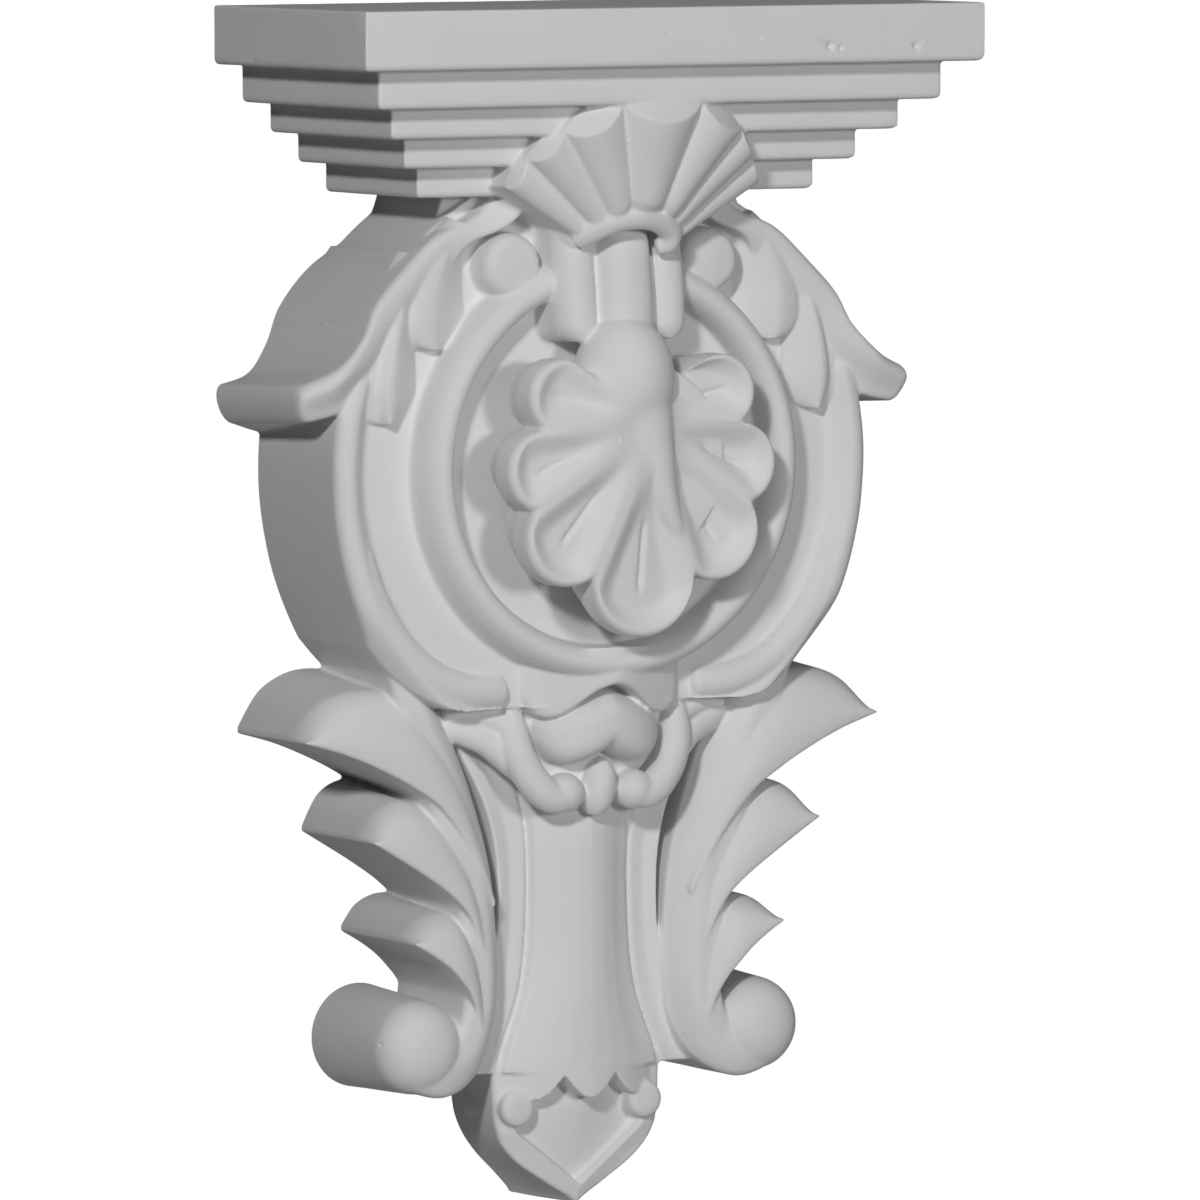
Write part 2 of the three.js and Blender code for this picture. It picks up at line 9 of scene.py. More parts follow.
import logging
import math
from collections.abc import Callable, Sequence
from dataclasses import dataclass, field
from enum import Enum

import bmesh
import bpy
import numpy as np
from mathutils import Matrix, Vector

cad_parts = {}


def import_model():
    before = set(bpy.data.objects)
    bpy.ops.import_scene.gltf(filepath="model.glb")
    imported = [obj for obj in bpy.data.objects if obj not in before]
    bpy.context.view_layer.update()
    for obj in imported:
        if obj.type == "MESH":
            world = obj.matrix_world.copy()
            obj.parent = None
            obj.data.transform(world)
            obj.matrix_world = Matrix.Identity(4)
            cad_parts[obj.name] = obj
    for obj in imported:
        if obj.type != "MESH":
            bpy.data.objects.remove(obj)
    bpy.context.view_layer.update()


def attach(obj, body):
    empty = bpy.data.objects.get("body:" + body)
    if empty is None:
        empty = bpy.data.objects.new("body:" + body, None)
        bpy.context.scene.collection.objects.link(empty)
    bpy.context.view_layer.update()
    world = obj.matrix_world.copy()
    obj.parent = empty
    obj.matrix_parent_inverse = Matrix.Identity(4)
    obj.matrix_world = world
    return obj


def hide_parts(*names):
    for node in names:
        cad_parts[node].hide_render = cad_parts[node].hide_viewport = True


LOG = logging.getLogger("leaf_corbel")

Array = np.ndarray
Pair = tuple[float, float]
Triple = tuple[float, float, float]

MM = 0.001
BACKING = -4.0  # how far the shapes reach behind the wall before they are cut flat


@dataclass(frozen=True)
class Levels:
    """Heights that the carvings share, down from the top of the crown."""

    crown: float = 54.7
    neck: float = 71.7
    drum: float = 133.7
    waist: float = 194.7
    hem: float = 311.7
    foot: float = 351.7


LEVELS = Levels()


@dataclass
class Shell:
    """A closed surface with four-sided faces, before it is fused with the others."""

    points: Array
    faces: Array

    def mirrored(self) -> Shell:
        """The same surface on the other side of the centre line."""
        return Shell(self.points * np.array([-1.0, 1.0, 1.0]), self.faces[:, ::-1])


def both_sides(shells: Sequence[Shell]) -> list[Shell]:
    """The shells and their mirror images."""
    return [*shells, *(shell.mirrored() for shell in shells)]


def at(x: Array, depth: Array, down: Array) -> Array:
    """Stacks the three coordinates of points into one array."""
    return np.stack(np.broadcast_arrays(x, depth, down), -1).astype(float)


def lerp(low: Array, high: Array, share: Array) -> Array:
    """Straight-line mix of two values."""
    return low + (high - low) * share


def eased(share: Array) -> Array:
    """A share from 0 to 1 with soft ends."""
    held = np.clip(share, 0.0, 1.0)
    return held * held * (3.0 - 2.0 * held)


def quarter_round(gap: Array, radius: Array | float) -> Array:
    """How far a rounded edge has fallen at a distance in from it.

    Args:
        gap: Distance in from the edge.
        radius: Radius of the rounding, one for all or one for each distance.

    Returns:
        The fall, which is the radius at the edge and nothing further in.
    """
    reach = np.clip(radius - gap, 0.0, radius)
    return radius - np.sqrt(radius * radius - reach * reach)


class Path:
    """A smooth line through a few points, in any number of dimensions."""

    def __init__(self, points: Sequence[Sequence[float]]) -> None:
        """Keeps the points that the line runs through."""
        self.points = np.array(points, float)

    def at(self, share: Array) -> Array:
        """Points of the line.

        Args:
            share: How far along the line, from 0 to 1.

        Returns:
            One point for each share.
        """
        last = len(self.points) - 1
        place = np.clip(np.asarray(share, float), 0.0, 1.0) * last
        low = np.minimum(place.astype(int), last - 1)
        t = (place - low)[..., None]
        before = self.points[np.maximum(low - 1, 0)]
        start = self.points[low]
        end = self.points[low + 1]
        after = self.points[np.minimum(low + 2, last)]
        rise = (end - before) * 0.5
        leave = (after - start) * 0.5
        curved = 2.0 * (start - end) + rise + leave
        bent = 3.0 * (end - start) - 2.0 * rise - leave
        return curved * t**3 + bent * t**2 + rise * t + start

    def heading(self, share: Array) -> Array:
        """Unit direction of the line at each share.

        Args:
            share: How far along the line, from 0 to 1.

        Returns:
            One direction for each share.
        """
        step = 1e-4
        held = np.clip(np.asarray(share, float), step, 1.0 - step)
        run = self.at(held + step) - self.at(held - step)
        return run / np.linalg.norm(run, axis=-1, keepdims=True)


def reading(values: Sequence[float], share: Array) -> Array:
    """Reads a smooth curve through evenly spaced values.

    Args:
        values: The values, first to last.
        share: Where to read, from 0 to 1.

    Returns:
        The curve's value at each share.
    """
    stops = np.asarray(values, float)
    last = len(stops) - 1
    place = np.clip(share, 0.0, 1.0) * last
    low = np.clip(place.astype(int), 0, last - 1)
    part = place - low
    before, start = stops[np.maximum(low - 1, 0)], stops[low]
    end, after = stops[low + 1], stops[np.minimum(low + 2, last)]
    slope = (end - before) * part
    bend = (2.0 * before - 5.0 * start + 4.0 * end - after) * part**2
    return start + 0.5 * (slope + bend + (3.0 * start - before - 3.0 * end + after) * part**3)


def sheet(rows: int, columns: int, place: Callable[[Array, Array], Array]) -> Shell:
    """A grid of faces over two shares.

    Args:
        rows: Faces along the first share.
        columns: Faces along the second share.
        place: Gives the points for arrays of the two shares.

    Returns:
        The open grid as a shell.
    """
    first, second = np.meshgrid(np.linspace(0, 1, rows + 1), np.linspace(0, 1, columns + 1), indexing="ij")
    points = place(first, second).reshape(-1, 3)
    index = np.arange((rows + 1) * (columns + 1)).reshape(rows + 1, columns + 1)
    corners = [index[:-1, :-1], index[1:, :-1], index[1:, 1:], index[:-1, 1:]]
    return Shell(points, np.stack(corners, -1).reshape(-1, 4))


def joined(shells: Sequence[Shell]) -> Shell:
    """Several shells as one, with their points numbered on.

    Args:
        shells: The surfaces, in order.

    Returns:
        One surface with all their points and faces.
    """
    points, faces, count = [], [], 0
    for shell in shells:
        points.append(shell.points)
        faces.append(shell.faces + count)
        count += len(shell.points)
    return Shell(np.concatenate(points), np.concatenate(faces))


def shaped_box(
    along: int, across: int, layers: int, place: Callable[[Array, Array, Array], Array]
) -> Shell:
    """A closed box whose points are moved.

    Args:
        along: Faces along u, which runs from 0 to 1.
        across: Faces along v, which runs from -1 to 1 and is finer near its ends.
        layers: Faces along w, which runs from 0 at the back to 1 at the front.
        place: Gives the points for arrays of u, v and w.

    Returns:
        The box as a closed shell.
    """

    def spread(share: Array) -> Array:
        """Places of v, closer together near the two sides."""
        return np.sin((share - 0.5) * math.pi)

    return joined(
        [
            sheet(along, across, lambda u, v: place(u, spread(v), np.ones_like(u))),
            sheet(along, across, lambda u, v: place(1.0 - u, spread(v), np.zeros_like(u))),
            sheet(along, layers, lambda u, w: place(u, np.ones_like(u), 1.0 - w)),
            sheet(along, layers, lambda u, w: place(u, -np.ones_like(u), w)),
            sheet(across, layers, lambda v, w: place(np.zeros_like(v), spread(v), 1.0 - w)),
            sheet(across, layers, lambda v, w: place(np.ones_like(v), spread(v), w)),
        ]
    )


def turned(profile: Sequence[Pair], x: float, down: float, facets: int = 160) -> Shell:
    """A round form turned about an axis that stands out of the wall.

    Args:
        profile: Radius and depth of each point, from the axis back to the axis.
        x: Where the axis is along the wall.
        down: Where the axis is below the crown's top.
        facets: Faces round the axis.

    Returns:
        The closed form.
    """
    radii, depths = np.array(profile, float).T
    steps = len(profile) - 1

    def place(share: Array, turn: Array) -> Array:
        """Points of the turned surface.

        Args:
            share: How far along the profile, from 0 to 1.
            turn: Share of the way round.

        Returns:
            One point for each set of shares.
        """
        radius = np.interp(share * steps, np.arange(steps + 1), radii)
        depth = np.interp(share * steps, np.arange(steps + 1), depths)
        angle = 2.0 * math.pi * turn
        return at(x + radius * np.cos(angle), depth, down + radius * np.sin(angle))

    return sheet(steps, facets, place)


def bead(
    points: Sequence[Triple],
    radius: Sequence[float],
    flat: float = 1.0,
    steps: int = 60,
    tip: float = 0.08,
) -> Shell:
    """A rounded cord of material that follows a path on the front.

    Args:
        points: The path's points.
        radius: Radius at even places along the path.
        flat: How much lower than wide its section is.
        steps: Faces along the path.
        tip: Share of the path that each rounded end takes.

    Returns:
        The closed cord.
    """
    path = Path(points)

    def place(u: Array, turn: Array) -> Array:
        """Points of the cord's surface.

        Args:
            u: Share along the path, from 0 to 1.
            turn: Share of the way round.

        Returns:
            One point for each set of shares.
        """
        share = 0.5 - 0.5 * np.cos(u * math.pi)
        heading = path.heading(share)
        outward = np.array([0.0, 1.0, 0.0])
        lift = outward - heading * heading[..., 1:2]
        lift = lift / np.linalg.norm(lift, axis=-1, keepdims=True)
        side = np.cross(heading, lift)
        near_end = np.minimum(share, 1.0 - share) / tip
        taper = np.sqrt(np.clip(1.0 - np.clip(1.0 - near_end, 0.0, 1.0) ** 2, 0.0, 1.0))
        size = (reading(radius, share) * taper)[..., None]
        angle = (2.0 * math.pi * turn)[..., None]
        return path.at(share) + size * (np.sin(angle) * lift * flat + np.cos(angle) * side)

    return sheet(steps, 20, place)


def egg(centre: Triple, half: Triple, tilt: float = 0.0) -> Shell:
    """A ball or an egg half sunk in what carries it.

    Args:
        centre: Its middle.
        half: Half its width, depth and height.
        tilt: Turn about the axis out of the wall, in degrees.

    Returns:
        The closed form.
    """
    turn = math.radians(tilt)

    def place(share: Array, around: Array) -> Array:
        """Points of the egg's surface.

        Args:
            share: How far along the profile, from 0 to 1.
            around: Share of the way round.

        Returns:
            One point for each set of shares.
        """
        rise = (share - 0.5) * math.pi
        angle = around * 2.0 * math.pi
        x = half[0] * np.cos(rise) * np.cos(angle)
        depth = half[1] * np.cos(rise) * np.sin(angle)
        down = half[2] * np.sin(rise)
        return at(
            centre[0] + x * math.cos(turn) - down * math.sin(turn),
            centre[1] + depth,
            centre[2] + x * math.sin(turn) + down * math.cos(turn),
        )

    return sheet(32, 48, place)


@dataclass(frozen=True)
class Tongue:
    """A carved tongue that follows a path on the wall and has its own front surface.

    Seen along its path, v is -1 at its left side, the high edge, and 1 at its right side, the low edge.
    """

    path: tuple[Pair, ...]
    widths: tuple[float, ...]
    front: Callable[[Array, Array], Array]
    foot: float = BACKING
    round_tip: float = 0.01
    high_edge: float = 1.0
    low_edge: float = 1.0

    def shell(self, along: int = 70, across: int = 44) -> Shell:
        """The tongue as a closed shell.

        Args:
            along: Faces along the path.
            across: Faces across it.

        Returns:
            The closed form.
        """
        path = Path(self.path)

        def place(u: Array, v: Array, w: Array) -> Array:
            """Points of the tongue.

            Args:
                u: Share along the form, from 0 to 1.
                v: Share across it, from -1 to 1.
                w: Share from its back, 0, to its front, 1.

            Returns:
                One point for each set of shares.
            """
            middle = path.at(u)
            heading = path.heading(u)
            half = reading(self.widths, u)
            over = np.clip((u - 1.0 + self.round_tip) / self.round_tip, 0.0, 1.0)
            half = half * np.sqrt(np.clip(1.0 - over**2, 0.0004, 1.0))
            gap = (1.0 - np.abs(v)) * half
            edge = np.where(v < 0.0, self.high_edge, self.low_edge)
            depth = lerp(self.foot, self.front(u, v) - quarter_round(gap, edge), w)
            side = half * v
            x = middle[..., 0] - heading[..., 1] * side
            return at(x, depth, middle[..., 1] + heading[..., 0] * side)

        return shaped_box(along, across, 14, place)


@dataclass(frozen=True)
class Crown:
    """Five steps, each shorter and shallower than the one above."""

    width: float = 205.0
    depth: float = 91.0
    heights: tuple[float, ...] = (17.2, 11.1, 8.8, 8.8, 8.8)
    setback: float = 9.1
    edge: float = 1.7

    def shells(self) -> list[Shell]:
        """The steps, from the top down.

        Returns:
            The closed forms.
        """
        made = []
        down = 0.0
        for i, height in enumerate(self.heights):
            sunk = 0.0 if i == 0 else self.edge
            made.append(self.step(i, down - sunk, height + sunk))
            down += height
        return made

    def step(self, number: int, top: float, height: float) -> Shell:
        """One step, with its lower edge eased.

        Args:
            number: Its place from the top, from 0.
            top: Its upper side, down from the crown's top.
            height: Its height.

        Returns:
            The closed step.
        """
        half = self.width / 2.0 - number * self.setback
        reach = self.depth - number * self.setback

        def place(u: Array, v: Array, w: Array) -> Array:
            """Points of the step.

            Args:
                u: Share of its width, from 0 to 1.
                v: Below zero at the wall, above zero in front.
                w: Share from its lower side, 0, to its upper side, 1.

            Returns:
                One point for each set of shares.
            """
            level = height * (1.0 - w)
            inset = quarter_round(height - level, self.edge)
            x = (2.0 * u - 1.0) * (half - inset)
            depth = np.where(v > 0.0, reach - inset, BACKING)
            return at(x, depth, top + level)

        return shaped_box(1, 1, 60, place)


@dataclass(frozen=True)
class Palmette:
    """Fan of rounded ribs under the crown, cut off aslant at their tops."""

    half_width: float = 42.2
    height: float = 40.0
    top: float = 27.3
    tip_depth: float = 80.5
    tip_fall: float = 18.0
    root_depth: float = 72.0
    root_fall: float = 10.0
    ribs: int = 7
    camber: float = 5.0
    top_slope: float = 1.25
    top_rise: float = 0.8
    swell_power: float = 0.62
    root_share: float = 0.12
    root_swell: float = 1.6
    root_roll: float = 1.5
    foot: float = 30.0
    tips: tuple[Pair, ...] = ((0.31, 0.0), (0.7, 0.2), (0.89, 0.4), (1.0, 0.61))
    roots: tuple[Pair, ...] = ((0.12, 0.77), (0.25, 0.85), (0.33, 0.92), (0.39, 1.0))
    sinks: tuple[float, ...] = (0.0, 0.3, 0.7, 1.0)

    def groove(self, number: int) -> tuple[Pair, Pair, float]:
        """One groove line.

        Args:
            number: Its place from the left, from 0 to the count of ribs.

        Returns:
            Its tip, its root and how far it sinks.
        """
        place = number - self.ribs / 2.0
        away = int(min(abs(place) - 0.5, len(self.tips) - 1))
        sign = math.copysign(1.0, place)
        tip = self.tips[away]
        root = self.roots[away]
        return (sign * tip[0], tip[1]), (sign * root[0], root[1]), self.sinks[away]

    def rib(self, number: int) -> Shell:
        """One rib between two grooves.

        Args:
            number: Its place from the left, from 0.

        Returns:
            The closed form.
        """
        left_tip, left_root, left_sink = self.groove(number)
        right_tip, right_root, right_sink = self.groove(number + 1)
        width = right_tip[0] - left_tip[0]

        def place(u: Array, v: Array, w: Array) -> Array:
            """Points of the rib.

            Args:
                u: Share across it, from 0 to 1.
                v: Share from its root, -1, to its tip, 1.
                w: Share from its back, 0, to its front, 1.

            Returns:
                One point for each set of shares.
            """
            rise = (v + 1.0) / 2.0
            swell = np.power(np.clip(np.sin(math.pi * u), 0.0, 1.0), self.swell_power)
            sink = lerp(left_sink, right_sink, u)
            short = 1.0 - np.clip(rise / self.root_share, 0.0, 1.0)
            root_end = np.sqrt(np.clip(1.0 - short**2, 0.0, 1.0))
            camber = self.camber * swell * (0.35 + width) * (0.5 + 0.5 * rise)
            x = lerp(lerp(left_root[0], right_root[0], u), lerp(left_tip[0], right_tip[0], u), rise)
            root_level = lerp(left_root[1], right_root[1], u) * self.height + swell * self.root_swell
            tip_level = lerp(left_tip[1], right_tip[1], u) * self.height
            level = self.top + lerp(root_level, tip_level, rise)
            fall = lerp(self.root_depth - self.root_fall * sink, self.tip_depth - self.tip_fall * sink, rise)
            front = fall + camber * root_end - self.root_roll * (1.0 - root_end)
            shoulder_level = level - camber * self.top_rise * rise
            front_level = level + camber * self.top_slope * rise
            near = np.clip((w - 0.5) * 2.0, 0.0, 1.0)
            far = np.clip(w * 2.0, 0.0, 1.0)
            depth = np.where(w > 0.5, lerp(fall - 1.0, front, near), lerp(self.foot, fall - 1.0, far))
            return at(
                x * self.half_width,
                depth,
                np.where(w > 0.5, lerp(shoulder_level, front_level, near), shoulder_level),
            )

        return shaped_box(24, 40, 12, place)

    def arch(self) -> Shell:
        """Rolled bead at the roots, which curls in at its right end.

        Returns:
            The closed form.
        """
        return bead(
            [
                (-17.0, 60.0, 67.2),
                (-14.5, 63.5, 65.0),
                (-9.0, 67.5, 61.8),
                (-2.0, 69.0, 60.8),
                (5.0, 68.0, 61.8),
                (10.5, 66.0, 64.8),
                (11.2, 64.5, 68.8),
                (7.6, 63.0, 70.0),
            ],
            [3.6, 3.8, 3.9, 3.8, 3.7, 3.6, 3.2, 2.4],
            steps=90,
            tip=0.03,
        )

    def shells(self) -> list[Shell]:
        """All ribs and the arched bead."""
        return [*(self.rib(number) for number in range(self.ribs)), self.arch()]


@dataclass(frozen=True)
class Drum:
    """Round body with its ring, rolled rim and the neck that carries the crown."""

    radius: float = 88.9
    stretch: float = 0.088
    depth: float = 43.0
    rim_depth: float = 49.0
    rim_radius: float = 84.4
    rim_slope: float = 8.0
    toe_fall: float = 9.0
    toe_inside: float = 1.4
    toe_width: float = 6.0
    toe_below: float = 35.0
    toe_fade: float = 25.0
    ring_radius: float = 57.5
    ring_width: float = 10.5
    ring_rise: float = 13.0
    medallion_depth: float = 45.0
    flat_bottom: float = 203.5
    foot_rise: float = 9.8
    bead_radius: float = 5.2
    neck_depth: float = 38.0
    neck_half: float = 86.6
    neck_shares: tuple[float, ...] = (0.56, 0.63, 0.8, 0.9, 0.95)
    neck_edge_fall: float = 3.0
    neck_lean: float = 2.0
    hidden_turn: float = -0.3
    hidden_fade: float = 0.15
    steps: int = 24

    def body(self) -> Shell:
        """Drum, rolled rim, channel, ring and medallion floor as one turned form.

        Below its middle the drum's edge reaches further out than a circle, and its foot is cut off level.

        Returns:
            The closed form.
        """
        half = self.ring_width / 2.0
        crest = self.depth + self.ring_rise
        roll = self.radius - self.rim_radius
        steps = self.steps
        profile = [(0.0, BACKING), (self.radius, BACKING)]
        for i in range(steps + 1):
            angle = math.pi / 2.0 * i / steps
            rim = self.rim_depth - roll * (1.0 - math.sin(angle))
            profile.append((self.rim_radius + roll * math.cos(angle), rim))
        for i in range(1, steps + 1):
            fall = (self.rim_depth - self.depth) * (1.0 - math.cos(math.pi * i / steps)) / 2.0
            profile.append((self.rim_radius - self.rim_slope * i / steps, self.rim_depth - fall))
        profile.append((self.ring_radius + half + 1.0, self.depth))
        for i in range(steps + 1):
            angle = math.pi * i / steps
            low = self.depth if 2 * i <= steps else self.medallion_depth
            rise = (crest - low - 1.0) * math.sin(angle) ** 0.8
            profile.append((self.ring_radius + half * math.cos(angle), low + 1.0 + rise))
        profile.append((self.ring_radius - half - 1.0, self.medallion_depth))
        profile.append((0.0, self.medallion_depth))
        body = turned(profile, 0.0, LEVELS.drum, 240)
        x, depth, below = body.points[:, 0], body.points[:, 1], body.points[:, 2] - LEVELS.drum
        away = np.hypot(x, below)
        past_slope = away - self.rim_radius + self.rim_slope
        reach = 1.0 + self.stretch * eased(past_slope / (roll + self.rim_slope))
        turn = np.arctan2(below, np.abs(x))
        hidden = eased((self.hidden_turn - turn) / self.hidden_fade) * (away > self.ring_radius + half + 2.0)
        toe = self.toe_fall * eased((away - self.rim_radius + self.toe_inside) / self.toe_width)
        toe = toe * eased((below - self.toe_below) / self.toe_fade) * (depth > self.neck_depth - 8.0)
        body.points[:, 1] = depth - np.clip(depth - self.depth, 0.0, None) * hidden - toe
        lowered = LEVELS.drum + below * np.where(below > 0.0, reach, 1.0)
        outwards = np.clip(np.abs(x) / self.radius * 4.0 - 2.0, 0.0, 1.4)
        foot = self.flat_bottom - self.foot_rise * outwards**2
        body.points[:, 2] = np.minimum(lowered, np.maximum(foot, LEVELS.drum))
        return body

    def rim_bead(self) -> Shell:
        """Roll that leaves the drum's rim at its lower side and turns in under the ring.

        Returns:
            The closed form.
        """
        return bead(
            [
                (80.7, 42.5, 155.0),
                (75.7, 43.2, 170.0),
                (67.7, 43.6, 183.0),
                (56.5, 43.6, 193.0),
                (44.0, 43.0, 198.0),
                (31.0, 41.0, 198.8),
            ],
            [self.bead_radius] * 6,
            steps=90,
            tip=0.06,
        )

    def neck(self) -> Shell:
        """Neck between the crown and the drum, which widens downwards.

        Returns:
            The closed form.
        """
        top = LEVELS.crown - 2.0
        bottom = LEVELS.drum - 25.0

        def place(u: Array, v: Array, w: Array) -> Array:
            """Points of the neck.

            Args:
                u: Share along the form, from 0 to 1.
                v: Share across it, from -1 to 1.
                w: Share from its back, 0, to its front, 1.

            Returns:
                One point for each set of shares.
            """
            edge = np.sqrt(np.clip(1.0 - v * v, 0.0, 1.0)) * self.neck_edge_fall
            half = reading(self.neck_shares, u) * self.neck_half
            front = self.neck_depth + edge + self.neck_lean * u
            return at(v * half, lerp(BACKING, front, w), lerp(top, bottom, u))

        return shaped_box(30, 30, 6, place)

    def shells(self) -> list[Shell]:
        """Neck, drum and both rim beads."""
        return [self.neck(), self.body(), *both_sides([self.rim_bead()])]


@dataclass(frozen=True)
class ReedsAndScrolls:
    """Three reeds under the palmette that touch each other, with a scroll on each side."""

    middle_half: float = 8.9
    side_half: float = 6.8
    side_x: float = 14.9
    reed_length: float = 33.5
    reed_rise: float = 8.0
    reed_bow: float = 4.5
    reed_round: float = 3.6
    reed_edge: float = 4.2
    foot: float = 30.0
    middle_depth: float = 66.5
    side_depth: float = 62.5
    groove_depth: float = 57.0
    scroll_x: float = 33.0
    scroll_down: float = 74.8
    scroll_radius: float = 9.0
    scroll_depth: float = 54.0

    def reed(self, x: float, half: float, depth: float) -> Shell:
        """One reed, bowed along its length, with a rounded foot.

        Args:
            x: Where it stands along the wall.
            half: Half its width.
            depth: Depth of its crest.

        Returns:
            The closed reed.
        """
        top = LEVELS.neck - self.reed_rise
        foot = top + self.reed_length

        def front(u: Array, v: Array) -> Array:
            """Depth, bowed along the reed and rolled over at its sides."""
            sides = self.reed_round * np.abs(v) ** 2.2
            return depth - self.reed_bow * (1.0 - u) ** 2 - sides - 2.0 * eased((u - 0.8) / 0.2)

        return Tongue(
            path=((x * 0.97, top), (x, lerp(top, foot, 0.5)), (x * 0.98, foot)),
            widths=(half * 0.96, half, half * 0.97),
            front=front,
            foot=self.foot,
            round_tip=0.2,
            high_edge=self.reed_edge,
            low_edge=self.reed_edge,
        ).shell()

    def backing(self) -> Shell:
        """What closes the grooves between the reeds.

        Returns:
            The closed form.
        """
        top, end = LEVELS.neck - self.reed_rise, LEVELS.neck + 22.0

        def place(u: Array, v: Array, w: Array) -> Array:
            """Points of the backing."""
            front = self.groove_depth - 3.0 * v * v
            return at(v * self.side_x, lerp(self.foot, front, w), lerp(top, end, u))

        return shaped_box(12, 12, 2, place)

    def scroll(self) -> Shell:
        """Disc of the right scroll.

        Returns:
            The closed form.
        """
        radius = self.scroll_radius
        return turned(
            [
                (0.0, BACKING),
                (radius + 1.2, BACKING),
                (radius + 0.7, self.scroll_depth - 8.0),
                (radius + 0.3, self.scroll_depth - 4.0),
                (radius - 0.3, self.scroll_depth - 2.2),
                (radius - 1.5, self.scroll_depth - 0.9),
                (radius - 2.6, self.scroll_depth - 0.5),
                (0.0, self.scroll_depth),
            ],
            self.scroll_x,
            self.scroll_down,
            96,
        )

    def shells(self) -> list[Shell]:
        """Reeds and both scrolls.

        Returns:
            The closed forms.
        """
        reeds = [
            self.reed(-self.side_x, self.side_half, self.side_depth),
            self.reed(0.0, self.middle_half, self.middle_depth),
            self.reed(self.side_x, self.side_half, self.side_depth),
        ]
        return [*reeds, self.backing(), *both_sides([self.scroll()])]


@dataclass(frozen=True)
class LeafLobe:
    """One lobe of a side leaf: its two outlines from the stem to the tip, and its crest's depths."""

    upper: tuple[Pair, ...]
    lower: tuple[Pair, ...]
    crest: tuple[float, ...]


